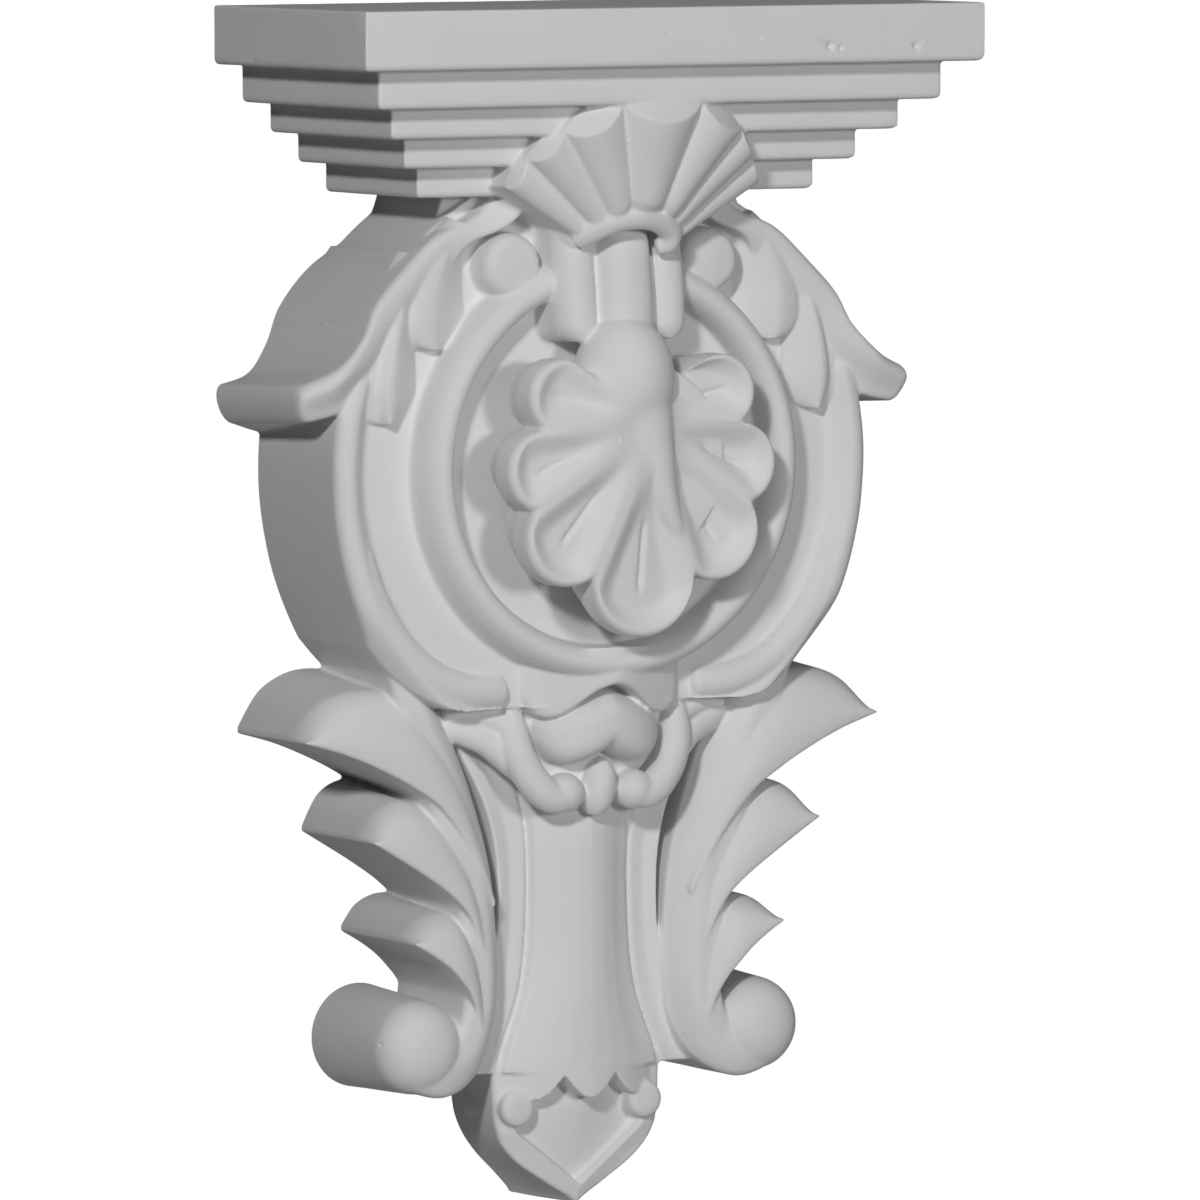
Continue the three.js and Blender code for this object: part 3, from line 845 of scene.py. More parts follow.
@dataclass(frozen=True)
class SideLeaf:
    """Three lobes along one stem, which ends in a rolled ball.

    Each lobe is soft along its upper side, crisp along its lower one and wider at the wall than in front.
    """

    height: float = 124.0
    depth: float = 45.0
    hollow: float = 7.0
    draft: float = 0.17
    soft_edge: float = 5.0
    crisp_edge: float = 0.8
    groove_fall: float = 8.5
    ball_radius: float = 13.9
    ball_flare: float = 1.6
    ball_dome: float = 11.0
    ball: Pair = (0.458, 0.861)
    stem: tuple[Pair, ...] = (
        (0.53, -0.05),
        (0.42, 0.155),
        (0.318, 0.43),
        (0.288, 0.66),
        (0.295, 0.8),
        (0.335, 0.88),
        (0.4, 0.903),
        (0.458, 0.868),
    )
    stem_widths: tuple[float, ...] = (0.03, 0.07, 0.068, 0.062, 0.06, 0.064, 0.08, 0.098)
    lobes: tuple[LeafLobe, ...] = (
        LeafLobe(
            (
                (32.0, 257.0),
                (40.0, 231.0),
                (50.0, 209.0),
                (62.0, 194.5),
                (76.0, 192.0),
                (88.5, 197.5),
                (96.0, 209.0),
            ),
            (
                (33.0, 262.0),
                (42.0, 245.0),
                (52.0, 232.0),
                (62.0, 225.0),
                (72.5, 219.4),
                (84.0, 214.6),
                (96.0, 211.0),
            ),
            (40.5, 43.5, 45.0, 44.8, 44.0, 42.5),
        ),
        LeafLobe(
            (
                (33.0, 283.0),
                (37.0, 261.0),
                (43.0, 243.5),
                (51.0, 230.5),
                (60.5, 225.0),
                (69.5, 228.8),
                (75.1, 239.0),
            ),
            (
                (34.0, 286.0),
                (39.0, 272.0),
                (43.5, 263.0),
                (50.0, 256.6),
                (58.0, 251.0),
                (66.0, 246.0),
                (75.1, 240.6),
            ),
            (40.5, 43.7, 45.0, 45.2, 44.4),
        ),
        LeafLobe(
            (
                (35.0, 297.0),
                (37.0, 281.5),
                (40.0, 268.5),
                (44.5, 260.5),
                (50.5, 259.3),
                (57.4, 262.4),
                (62.1, 268.8),
            ),
            (
                (38.0, 301.0),
                (40.5, 292.0),
                (43.5, 286.0),
                (47.0, 281.8),
                (50.8, 278.0),
                (56.0, 274.2),
                (62.1, 270.6),
            ),
            (41.4, 44.5, 46.2, 46.2, 45.6),
        ),
    )

    def placed(self, points: Sequence[Pair]) -> tuple[Pair, ...]:
        """Points given in shares of the leaf, in millimetres."""
        return tuple((x * self.height, LEVELS.waist + down * self.height) for x, down in points)

    def lobe(self, shape: LeafLobe) -> Shell:
        """One lobe, high at its lower edge and low where it tucks under the lobe above.

        Args:
            shape: Outlines and depths of the lobe.

        Returns:
            The closed form.
        """
        upper, lower = Path(shape.upper), Path(shape.lower)

        def place(u: Array, v: Array, w: Array) -> Array:
            """Points of the lobe.

            Args:
                u: Share out to its tip, from 0 to 1.
                v: Share from its upper side, -1, to its lower one, 1.
                w: Share from its back, 0, to its front, 1.

            Returns:
                One point for each set of shares.
            """
            high, low = upper.at(u), lower.at(u)
            kept = 1.0 - self.draft * w**0.6
            spot = lerp(low, high, (kept * (1.0 - v) / 2.0)[..., None])
            gap = (1.0 - np.abs(v)) * np.linalg.norm(high - low, axis=-1) * kept / 2.0
            edge = np.where(v < 0.0, self.soft_edge, self.crisp_edge)
            hollow = self.hollow * ((v - 0.6) / 1.6) ** 2 * lerp(0.45, 1.0, eased(u * 2.2))
            front = reading(shape.crest, u) - hollow - quarter_round(gap, edge)
            return at(spot[..., 0], lerp(BACKING, front, w), spot[..., 1])

        return shaped_box(100, 60, 14, place)

    def stem_front(self, u: Array, v: Array) -> Array:
        """Depth of the stem, which falls away towards the groove beside it.

        Args:
            u: Share along the form, from 0 to 1.
            v: Share across it, from -1 to 1.

        Returns:
            Depth of the front at each place.
        """
        inner = np.clip(v + 0.1, 0.0, 1.0)
        fall = self.groove_fall * inner**2 * eased((0.86 - u) / 0.3) + 3.0 * v * v * eased((u - 0.6) / 0.3)
        return self.depth * lerp(0.93, 0.97, eased(u * 3.0 - 2.0)) - fall

    def ball_end(self) -> Shell:
        """Rolled end of the stem: a stub with a domed front.

        Returns:
            The closed form.
        """
        x, down = self.placed([self.ball])[0]
        radius = self.ball_radius
        profile = [(0.0, BACKING), (radius + self.ball_flare, BACKING)]
        steps = 14
        for i in range(steps + 1):
            angle = math.pi / 2.0 * i / steps
            dome = (self.ball_dome + 0.5) * math.sin(angle)
            profile.append((radius * math.cos(angle) ** 0.8, self.depth - self.ball_dome + dome))
        return turned(profile, x, down, 120)

    def shells(self) -> list[Shell]:
        """Both side leaves.

        Returns:
            The closed forms.
        """
        stem = Tongue(
            path=self.placed(self.stem),
            widths=tuple(width * self.height for width in self.stem_widths),
            front=self.stem_front,
            high_edge=3.0,
            low_edge=2.0,
        ).shell(90, 40)
        return both_sides([*(self.lobe(shape) for shape in self.lobes), stem, self.ball_end()])


@dataclass(frozen=True)
class ShoulderLeaf:
    """Leaf over the drum's shoulder: a flank that flares to a tip, and two drops of leaf inside it."""

    wall_outer: tuple[Pair, ...] = (
        (43.0, 49.0),
        (50.0, 60.5),
        (62.0, 69.8),
        (73.0, 77.0),
        (82.0, 87.5),
        (86.5, 98.5),
        (92.0, 106.5),
        (100.4, 109.6),
    )
    front_outer: tuple[Pair, ...] = (
        (34.0, 49.0),
        (43.0, 59.5),
        (56.5, 65.5),
        (67.0, 74.5),
        (77.0, 85.0),
        (82.0, 94.5),
        (90.0, 102.5),
        (99.5, 107.5),
    )
    wall_inner: tuple[Pair, ...] = (
        (20.0, 49.0),
        (31.0, 60.0),
        (44.0, 72.0),
        (54.0, 86.0),
        (62.0, 100.0),
        (71.0, 113.0),
        (84.0, 124.4),
        (97.0, 121.0),
    )
    front_inner: tuple[Pair, ...] = (
        (20.0, 49.0),
        (33.0, 62.6),
        (46.5, 69.0),
        (52.5, 81.0),
        (61.0, 96.0),
        (72.0, 109.0),
        (86.0, 115.5),
        (97.5, 118.5),
    )
    outer_depths: tuple[float, ...] = (50.0, 50.5, 50.5, 50.5, 51.5, 53.0, 54.5, 51.0)
    inner_depths: tuple[float, ...] = (52.5, 52.5, 50.5, 46.0, 43.8, 44.0, 47.5, 48.0)
    tip_bulge: float = 3.4
    valley: float = 2.2
    crease: float = -0.35
    crest: float = -0.25
    length: float = 110.0
    middle_depths: tuple[float, ...] = (47.0, 49.5, 50.8, 50.8, 48.8)
    short_depths: tuple[float, ...] = (49.5, 50.2, 50.4, 50.2, 48.6)

    def flank(self) -> Shell:
        """Outer part, from the band over the scroll to the flared, blunt tip.

        Returns:
            The closed form.
        """
        outlines = (self.wall_outer, self.front_outer, self.wall_inner, self.front_inner)
        paths = [Path(points) for points in outlines]

        def place(u: Array, v: Array, w: Array) -> Array:
            """Points of the flank.

            Args:
                u: Share out to its tip, from 0 to 1.
                v: Share from its inner edge, -1, to its outer one, 1.
                w: Share from its back, 0, to its front, 1.

            Returns:
                One point for each set of shares.
            """
            share = (v + 1.0) / 2.0
            wall_outer, front_outer, wall_inner, front_inner = (path.at(u) for path in paths)
            outer = lerp(wall_outer, front_outer, w[..., None])
            inner = lerp(wall_inner, front_inner, w[..., None])
            spot = lerp(inner, outer, share[..., None])
            round_tip = np.sqrt(np.clip(1.0 - (v * 0.96) ** 2, 0.0, 1.0))
            bulge = self.tip_bulge * round_tip * eased((u - 0.9) / 0.1)
            width = np.linalg.norm(front_outer - front_inner, axis=-1)
            valley = self.valley * np.sin(math.pi * share)
            valley = valley * eased((u - 0.45) / 0.25) * eased((1.0 - u) / 0.2)
            edge = lerp(3.0, 5.0, eased((u - 0.7) / 0.3))
            rounding = quarter_round((1.0 - share) * width, edge) + quarter_round(share * width, 1.8)
            rounding = rounding + quarter_round((1.0 - u) * self.length, 4.0)
            high, low = reading(self.outer_depths, u), reading(self.inner_depths, u)
            front = lerp(low, high, eased(share * 1.3)) - valley - rounding
            return at(spot[..., 0] + bulge, lerp(BACKING, front, w), spot[..., 1])

        return shaped_box(120, 64, 14, place)

    def middle_lobe(self) -> Shell:
        """Long drop of leaf with a crease down its length.

        Returns:
            The closed form.
        """

        def front(u: Array, v: Array) -> Array:
            """Depth, round inside the crease and falling away outside it.

            Args:
                u: Share along the form, from 0 to 1.
                v: Share across it, from -1 to 1.

            Returns:
                Depth of the front at each place.
            """
            body = reading(self.middle_depths, u)
            inside = -6.2 * np.clip(v, 0.0, 1.0) ** 1.3 - 2.0 * np.clip(v / self.crease, 0.0, 1.0) ** 2
            crease = np.exp(-(((v - self.crease) / 0.1) ** 2))
            outside = -2.6 - 3.4 * np.clip(self.crease - v, 0.0, 1.0)
            return body + np.where(v > self.crease, inside, outside) - 0.8 * crease

        return Tongue(
            path=((62.0, 71.0), (67.0, 83.5), (70.4, 96.5), (71.8, 109.0), (71.4, 120.0)),
            widths=(2.6, 6.2, 9.0, 10.4, 9.8),
            front=front,
            round_tip=0.24,
            high_edge=2.4,
            low_edge=1.0,
        ).shell()

    def inner_lobe(self) -> Shell:
        """Short drop of leaf beside the scroll.

        Returns:
            The closed form.
        """

        def front(u: Array, v: Array) -> Array:
            """Depth, steep outside the crest and sloping far down inside it.

            Args:
                u: Share along the form, from 0 to 1.
                v: Share across it, from -1 to 1.

            Returns:
                Depth of the front at each place.
            """
            body = reading(self.short_depths, u)
            inside = 6.6 * np.clip((v - self.crest) / (1.0 - self.crest), 0.0, 1.0) ** 1.3
            outside = 2.2 * np.clip((self.crest - v) / (1.0 + self.crest), 0.0, 1.0) ** 2
            return body - inside - outside

        return Tongue(
            path=((47.0, 62.5), (52.0, 72.0), (54.8, 81.5), (55.4, 90.5), (55.2, 99.0)),
            widths=(4.0, 7.4, 9.8, 11.0, 10.4),
            front=front,
            round_tip=0.24,
            high_edge=3.0,
            low_edge=1.0,
        ).shell()

    def shells(self) -> list[Shell]:
        """Both shoulder leaves."""
        return both_sides([self.flank(), self.middle_lobe(), self.inner_lobe()])


@dataclass(frozen=True)
class ShellLeaf:
    """Shell in the medallion: seven dished lobes round a bulb, on a round pedestal."""

    hub: Pair = (2.5, 119.0)
    depth: float = 71.0
    foot: float = 50.0
    left_rise: float = 3.0
    right_rise: float = -3.4
    dish: float = 4.4
    rim: float = 7.5
    start_degrees: float = -42.2
    end_degrees: float = 215.0
    vein_width: float = 0.75
    vein_depth: float = 1.5
    pedestal_radius: float = 29.0
    pedestal_foot: float = 30.0
    pedestal_depth: float = 66.0
    circles: tuple[Triple, ...] = (
        (26.5, 112.2, 11.2),
        (32.5, 133.2, 12.2),
        (24.5, 152.5, 14.4),
        (0.0, 165.5, 17.0),
        (-24.5, 152.5, 14.4),
        (-32.5, 133.2, 12.2),
        (-26.5, 112.2, 11.2),
    )

    def reach(self, angle: Array) -> tuple[Array, Array]:
        """Outline of the shell.

        Args:
            angle: Direction from the hub, 0 along the wall to the right, growing downwards.

        Returns:
            Distance to the outline, and the number of the lobe that makes it.
        """
        found = []
        for x, down, radius in self.circles:
            away = np.array([x - self.hub[0], down - self.hub[1]])
            ahead = away[0] * np.cos(angle) + away[1] * np.sin(angle)
            left = radius**2 - (away @ away - ahead**2)
            outline = ahead + np.sqrt(np.clip(left, 0.0, None))
            found.append(np.where((left > 0.0) & (ahead > 0.0), outline, 0.0))
        stacked = np.stack(found)
        return np.maximum(stacked.max(0), 12.0), stacked.argmax(0)

    def notches(self) -> Array:
        """Angles at which one lobe gives way to the next, in order.

        Returns:
            The angles, in radians.
        """
        angle = np.linspace(-0.6 * math.pi, 1.6 * math.pi, 4401)
        _, lobe = self.reach(angle)
        change = np.nonzero(np.diff(lobe) != 0)[0]
        return angle[change]

    def leaf(self) -> Shell:
        """The lobes as one sheet: each is a dish with a rolled rim and a cut vein.

        Returns:
            The closed form.
        """
        start, end = math.radians(self.start_degrees), math.radians(self.end_degrees)
        notches = self.notches()

        def surface(angle: Array, share: Array) -> Array:
            """Depth of the front at an angle and a share of the reach.

            Args:
                angle: Direction from the hub.
                share: Share of the way from the hub to the outline.

            Returns:
                Depth at each place.
            """
            reach, lobe = self.reach(angle)
            radius = share * reach
            to_ray = np.full(angle.shape, 1e3)
            for notch in notches:
                swing = np.abs(angle - notch)
                gap = np.where(swing < math.pi / 2.0, radius * np.sin(swing), 1e3)
                to_ray = np.minimum(to_ray, gap)
            to_rim = (1.0 - share) * reach
            to_end = radius * np.sin(np.clip(np.minimum(angle - start, end - angle), 0.0, math.pi / 2.0))
            to_edge = (np.maximum(to_ray, 0.05) ** -4 + np.maximum(to_rim, 0.05) ** -4) ** -0.25
            hollow = self.dish * eased((to_edge - 1.0) / self.rim) * eased((share - 0.14) / 0.4)
            to_left = eased((angle - math.radians(64.0)) / math.radians(34.0))
            rise = lerp(self.right_rise, self.left_rise, to_left)
            dome = self.depth + rise * (1.0 - share**1.6) * eased(share / 0.42)
            circle = np.array(self.circles)[lobe]
            middle = np.arctan2(circle[..., 1] - self.hub[1], circle[..., 0] - self.hub[0])
            middle = np.where(middle < start - 0.2, middle + 2.0 * math.pi, middle)
            off = radius * np.sin(angle - middle)
            vein = np.exp(-((off / self.vein_width) ** 2))
            vein = vein * eased((share - 0.42) / 0.1) * eased((0.82 - share) / 0.08)
            edge = quarter_round(np.minimum(to_rim, to_end + 0.3), 3.0)
            return dome - hollow - self.vein_depth * vein - edge

        def place(u: Array, v: Array, w: Array) -> Array:
            """Points of the leaf.

            Args:
                u: Share of the way round it, from 0 to 1.
                v: Share out from the hub, from -1 to 1.
                w: Share from its back, 0, to its front, 1.

            Returns:
                One point for each set of shares.
            """
            angle = lerp(start, end, u)
            share = (v + 1.0) / 2.0
            reach, _ = self.reach(angle)
            tuck = lerp(0.9, 1.0, np.clip(w * 1.6, 0.0, 1.0))
            radius = share * reach * tuck
            depth = lerp(self.foot, surface(angle, share), w)
            return at(self.hub[0] + radius * np.cos(angle), depth, self.hub[1] + radius * np.sin(angle))

        return shaped_box(420, 60, 12, place)

    def shells(self) -> list[Shell]:
        """Leaf, bulb with its sweeping tail, and pedestal.

        Returns:
            The closed forms.
        """
        pedestal = turned(
            [
                (0.0, self.pedestal_foot),
                (self.pedestal_radius, self.pedestal_foot),
                (self.pedestal_radius, self.pedestal_depth),
                (0.0, self.pedestal_depth),
            ],
            0.0,
            LEVELS.drum - 2.0,
            120,
        )
        bulb = egg((-2.0, 61.5, 107.5), (14.8, 15.0, 18.0))
        tail = bead(
            [
                (-0.5, 64.0, 112.0),
                (2.4, 66.2, 121.5),
                (4.6, 67.6, 130.0),
                (6.4, 68.2, 138.5),
                (9.6, 68.2, 147.5),
                (13.4, 67.5, 155.0),
            ],
            [10.5, 8.4, 6.0, 4.6, 3.4, 2.2],
            steps=110,
            tip=0.06,
        )
        return [self.leaf(), bulb, tail, pedestal]


@dataclass(frozen=True)
class BudAndCollar:
    """Heart-shaped bud under the ring's apron, held in a looped collar."""

    top: float = 198.5
    half_width: float = 20.5
    height: float = 23.5
    side_depth: float = 44.0
    front_depth: float = 54.5
    foot: float = 20.0
    cup_top: float = 201.0
    cup_height: float = 29.0
    cup_depth: float = 40.0
    apron_foot: float = 30.0
    apron_half: float = 27.5
    apron_top: float = 186.0
    apron_depth: float = 55.5
    apron_edge: tuple[float, ...] = (197.0, 198.8, 202.8, 206.2, 205.8, 200.5)
    apron_lip: tuple[float, ...] = (55.0, 53.5, 51.0, 48.6, 46.4, 44.2)

    def bud(self) -> Shell:
        """The heart, with its cleft at the bottom.

        Returns:
            The closed form.
        """

        def place(u: Array, v: Array, w: Array) -> Array:
            """Points of the bud.

            Args:
                u: Share down it, from 0 to 1.
                v: Share across it, from -1 to 1.
                w: Share from its back, 0, to its front, 1.

            Returns:
                One point for each set of shares.
            """
            across = np.abs(v)
            lower = self.height * (1.0 - 0.22 * (1.0 - across) ** 3 - 0.42 * across**6)
            upper = self.height * 0.42 * across**1.5
            level = 2.0 * u - 1.0
            belly = np.power(np.clip(1.0 - across**2.4, 0.0, 1.0), 0.5)
            belly = belly * np.power(np.clip(1.0 - np.abs(level) ** 3.2, 0.0, 1.0), 0.5)
            depth = lerp(self.side_depth - 4.0, self.front_depth, belly) - 1.2 * across
            return at(v * self.half_width, lerp(self.foot, depth, w), self.top + lerp(upper, lower, u))

        return shaped_box(48, 60, 6, place)

    def apron(self) -> Shell:
        """Skirt of the ring, whose ogee edge lies over the bud.

        Returns:
            The closed form.
        """

        def place(u: Array, v: Array, w: Array) -> Array:
            """Points of the apron.

            Args:
                u: Share of its width, from 0 to 1.
                v: Share down it, from -1 to 1.
                w: Share from its back, 0, to its front, 1.

            Returns:
                One point for each set of shares.
            """
            x = (2.0 * u - 1.0) * self.apron_half
            away = np.abs(2.0 * u - 1.0)
            drop = (v + 1.0) / 2.0
            low = reading(self.apron_edge, away)
            down = lerp(self.apron_top, low, drop)
            lip = reading(self.apron_lip, away) + 0.8 * drop
            front = lerp(self.apron_depth - 10.0 * away**2, lip, drop) - quarter_round(low - down, 1.8)
            front = front - quarter_round((1.0 - away) * self.apron_half, 5.0)
            return at(x, lerp(self.apron_foot, front, w), down)

        return shaped_box(70, 24, 4, place)

    def collar(self) -> list[Shell]:
        """Right loop round the bud, its wing and the ball in which it ends.

        Returns:
            The closed forms of the right side.
        """
        loop = bead(
            [
                (27.5, 38.0, 203.0),
                (27.3, 40.0, 209.5),
                (26.6, 41.5, 216.0),
                (23.2, 43.0, 223.5),
                (17.5, 44.0, 229.3),
                (11.5, 44.5, 230.5),
            ],
            [3.2, 4.4, 4.9, 5.0, 5.0, 4.4],
        )
        wing = bead(
            [
                (47.0, 33.0, 207.0),
                (40.5, 35.0, 210.5),
                (34.0, 37.0, 213.5),
                (28.5, 39.0, 218.5),
                (25.0, 40.0, 223.0),
            ],
            [3.4, 4.2, 4.4, 4.2, 3.2],
        )
        ball = egg((11.6, 43.0, 229.0), (6.2, 6.4, 5.9))
        upper_wing = bead(
            [(47.0, 34.5, 205.0), (38.0, 36.5, 205.6), (31.0, 38.5, 208.0), (26.5, 40.0, 213.0)],
            [2.4, 3.0, 3.2, 2.8],
        )
        return [loop, wing, upper_wing, ball]

    def cup(self) -> Shell:
        """What the bud lies in, narrowing downwards.

        Returns:
            The closed form.
        """

        def place(u: Array, v: Array, w: Array) -> Array:
            """Points of the cup.

            Args:
                u: Share along the form, from 0 to 1.
                v: Share across it, from -1 to 1.
                w: Share from its back, 0, to its front, 1.

            Returns:
                One point for each set of shares.
            """
            half = self.half_width * lerp(1.6, 0.5, u**1.6)
            depth = self.cup_depth + 2.0 * u - 4.0 * v * v
            return at(v * half, lerp(self.foot, depth, w), self.cup_top + u * self.cup_height)

        return shaped_box(30, 24, 4, place)

    def shells(self) -> list[Shell]:
        """Bud, apron, cup, tongue, and the collar on both sides."""
        tongue = egg((-0.2, 43.0, 227.8), (5.2, 6.0, 8.8), 10.0)
        return [self.bud(), self.apron(), self.cup(), tongue, *both_sides(self.collar())]


@dataclass(frozen=True)
class Waist:
    """Convex panel between flat bands, with a scalloped hem at its foot."""

    band_depth: float = 30.0
    groove_depth: float = 17.0
    rise: float = 9.5
    outer: tuple[float, ...] = (60.0, 46.0, 33.3, 30.0, 33.0, 41.8)
    panel: tuple[float, ...] = (29.0, 23.8, 16.3, 15.1, 17.5, 25.7)
    scallop: float = 8.5
    scallop_drop: float = 7.0
    scallop_lip: float = 1.0
    scallop_foot: float = 15.0
    top_swell: float = 6.0
    band_edge: float = 3.4

    def body(self) -> Shell:
        """Panel, bands and grooves.

        Returns:
            The closed form.
        """
        depths = (
            self.rise,
            self.rise * 0.93,
            self.rise * 0.74,
            self.rise * 0.46,
            2.4,
            -1.0,
            0.9,
            -0.1,
            1.5,
            self.groove_depth - self.band_depth,
            self.groove_depth - self.band_depth,
        )

        def place(u: Array, v: Array, w: Array) -> Array:
            """Points of the waist.

            Args:
                u: Share down it, from 0 to 1.
                v: Share across it, from -1 to 1.
                w: Share from its back, 0, to its front, 1.

            Returns:
                One point for each set of shares.
            """
            share = np.abs(v)
            edge = reading(self.panel, u)
            outer = reading(self.outer, u)
            shares = np.linspace(0.0, 1.0, len(depths))
            stops = np.stack(
                [
                    np.zeros_like(edge),
                    edge * 0.28,
                    edge * 0.54,
                    edge * 0.78,
                    edge,
                    edge + 1.3,
                    edge + 2.8,
                    lerp(edge + 2.8, outer - self.band_edge, 0.5),
                    outer - self.band_edge,
                    outer - 2.6,
                    outer,
                ],
                -1,
            )
            last = len(depths) - 1
            place_in = np.clip(share * last, 0.0, last - 1e-9)
            low = place_in.astype(int)
            part = place_in - low
            from_stop = np.take_along_axis(stops, low[..., None], -1)[..., 0]
            to_stop = np.take_along_axis(stops, low[..., None] + 1, -1)[..., 0]
            x = np.sign(v) * lerp(from_stop, to_stop, part)
            lift = np.interp(share, shares, depths)
            top = self.top_swell * np.clip(1.0 - u * 4.0, 0.0, 1.0)
            down = lerp(LEVELS.waist - 8.0, LEVELS.hem, u)
            return at(x, lerp(BACKING, self.band_depth + lift + top, w), down)

        return shaped_box(60, 140, 4, place)

    def scallops(self) -> list[Shell]:
        """Three scallops of the hem.

        Returns:
            The closed scallops.
        """

        def made(centre: float) -> Shell:
            """One scallop.

            Args:
                centre: Where its middle is along the wall.

            Returns:
                The closed form.
            """

            def place(u: Array, v: Array, w: Array) -> Array:
                """Points of the scallop.

                Args:
                    u: Share of its width, from 0 to 1.
                    v: Share down it, from -1 to 1.
                    w: Share from its back, 0, to its front, 1.

                Returns:
                    One point for each set of shares.
                """
                x = centre + (u - 0.5) * 2.0 * self.scallop
                out = self.band_depth + self.rise * (1.0 - (np.abs(x) / self.panel[-1]) ** 2)
                drop = self.scallop_drop * np.sin(math.pi * u) + self.scallop_lip
                down = lerp(LEVELS.hem - 2.2, LEVELS.hem + drop, (v + 1.0) / 2.0)
                return at(x, lerp(self.scallop_foot, out, w), down)

            return shaped_box(24, 8, 3, place)

        return [made(centre * self.scallop) for centre in (-2.0, 0.0, 2.0)]

    def shells(self) -> list[Shell]:
        """The waist and its hem."""
        return [self.body(), *self.scallops()]


@dataclass(frozen=True)
class Drop:
    """Shield below the waist that comes to a point, with two round eyes."""

    depth: float = 31.0
    wall_halves: tuple[float, ...] = (26.0, 25.8, 25.4, 24.4, 21.6, 17.0, 11.0, 6.0)
    front_halves: tuple[float, ...] = (28.4, 28.2, 28.0, 27.4, 25.2, 19.3, 9.8, 0.6)
    v_foot: float = 345.9
    v_half: float = 21.0
    floor_depth: float = 26.8
    keel: float = 4.6
    eye_radius: float = 5.6
    eye: Pair = (21.5, 322.0)

    def body(self) -> Shell:
        """Body of the drop: a dished shield with a soft keel inside a V of raised border.

        Returns:
            The closed form.
        """
        top = LEVELS.hem - 4.0

        def place(u: Array, v: Array, w: Array) -> Array:
            """Points of the drop.

            Args:
                u: Share along the form, from 0 to 1.
                v: Share across it, from -1 to 1.
                w: Share from its back, 0, to its front, 1.

            Returns:
                One point for each set of shares.
            """
            half = lerp(reading(self.wall_halves, u), reading(self.front_halves, u), w**1.5)
            x = v * half
            down = lerp(top, LEVELS.foot, u)
            inside = np.minimum((self.v_foot - down) * 1.25, self.v_half) - np.abs(x)
            keel = 1.0 - np.clip(np.abs(x) / self.v_half, 0.0, 1.0) ** 1.4
            fade = np.clip((self.v_foot - down) / 24.0, 0.0, 1.0) ** 0.7
            floor = self.floor_depth + self.keel * keel * fade
            rim = self.depth + 0.8 - 1.6 * np.clip(-inside / 7.0, 0.0, 1.0)
            gap = (1.0 - np.abs(v)) * half
            depth = lerp(rim, floor, eased((inside + 0.4) / 2.2)) - quarter_round(gap, 1.6)
            return at(x, lerp(BACKING, depth, w), down)

        return shaped_box(90, 110, 10, place)

    def shells(self) -> list[Shell]:
        """Body and eyes.

        Returns:
            The closed forms.
        """
        radius = self.eye_radius
        eye = turned(
            [
                (0.0, 10.0),
                (radius + 0.4, 10.0),
                (radius, self.depth + 1.8),
                (radius - 0.7, self.depth + 3.0),
                (radius - 2.0, self.depth + 3.6),
                (0.0, self.depth + 3.8),
            ],
            self.eye[0],
            self.eye[1],
            72,
        )
        return [self.body(), *both_sides([eye])]


@dataclass(frozen=True)
class Wear:
    """Uneven skin of the moulding: a slow wobble, and small pits where the foam had bubbles.

    All of it goes inwards, so the moulding keeps its size.
    """

    wobble: float = 0.16
    wave: float = 17.0
    pits: int = 46
    pit_radius: float = 0.55
    pit_sink: float = 0.5
    waves: int = 6
    seed: int = 7
    front_from: float = 20.0
    seen_pits: tuple[tuple[float, float, float, float], ...] = (
        (-37.0, 53.5, 66.5, 1.3),
        (50.0, 91.0, 12.0, 1.6),
        (53.5, 91.0, 12.6, 1.2),
        (79.0, 91.0, 12.4, 1.3),
    )

    def sink(self, points: Array) -> Array:
        """How far each point of the surface goes in.

        Args:
            points: Points in millimetres, in the part's own frame.

        Returns:
            Depth below the even surface, in millimetres.
        """
        source = np.random.default_rng(self.seed)
        total = np.zeros(len(points))
        for _ in range(self.waves):
            way = source.normal(size=3)
            way = way / np.linalg.norm(way) * 2.0 * math.pi / (self.wave * source.uniform(0.6, 1.7))
            total += np.sin(points @ way + source.uniform(0.0, 2.0 * math.pi)) / self.waves
        total = self.wobble * (1.0 + total) / 2.0
        front = np.nonzero(points[:, 1] < -self.front_from)[0]
        chosen = source.choice(front, self.pits)
        spots = [(points[i], self.pit_radius * source.uniform(0.6, 1.4)) for i in chosen]
        for x, depth, down, radius in self.seen_pits:
            spots.append((np.array([x, -depth, LEVELS.foot / 2.0 - down]), radius))
        for spot, radius in spots:
            away = np.linalg.norm(points - spot, axis=1)
            pit = self.pit_sink * np.clip(1.0 - away / radius, 0.0, 1.0) * radius / self.pit_radius
            total = np.maximum(total, pit)
        return total


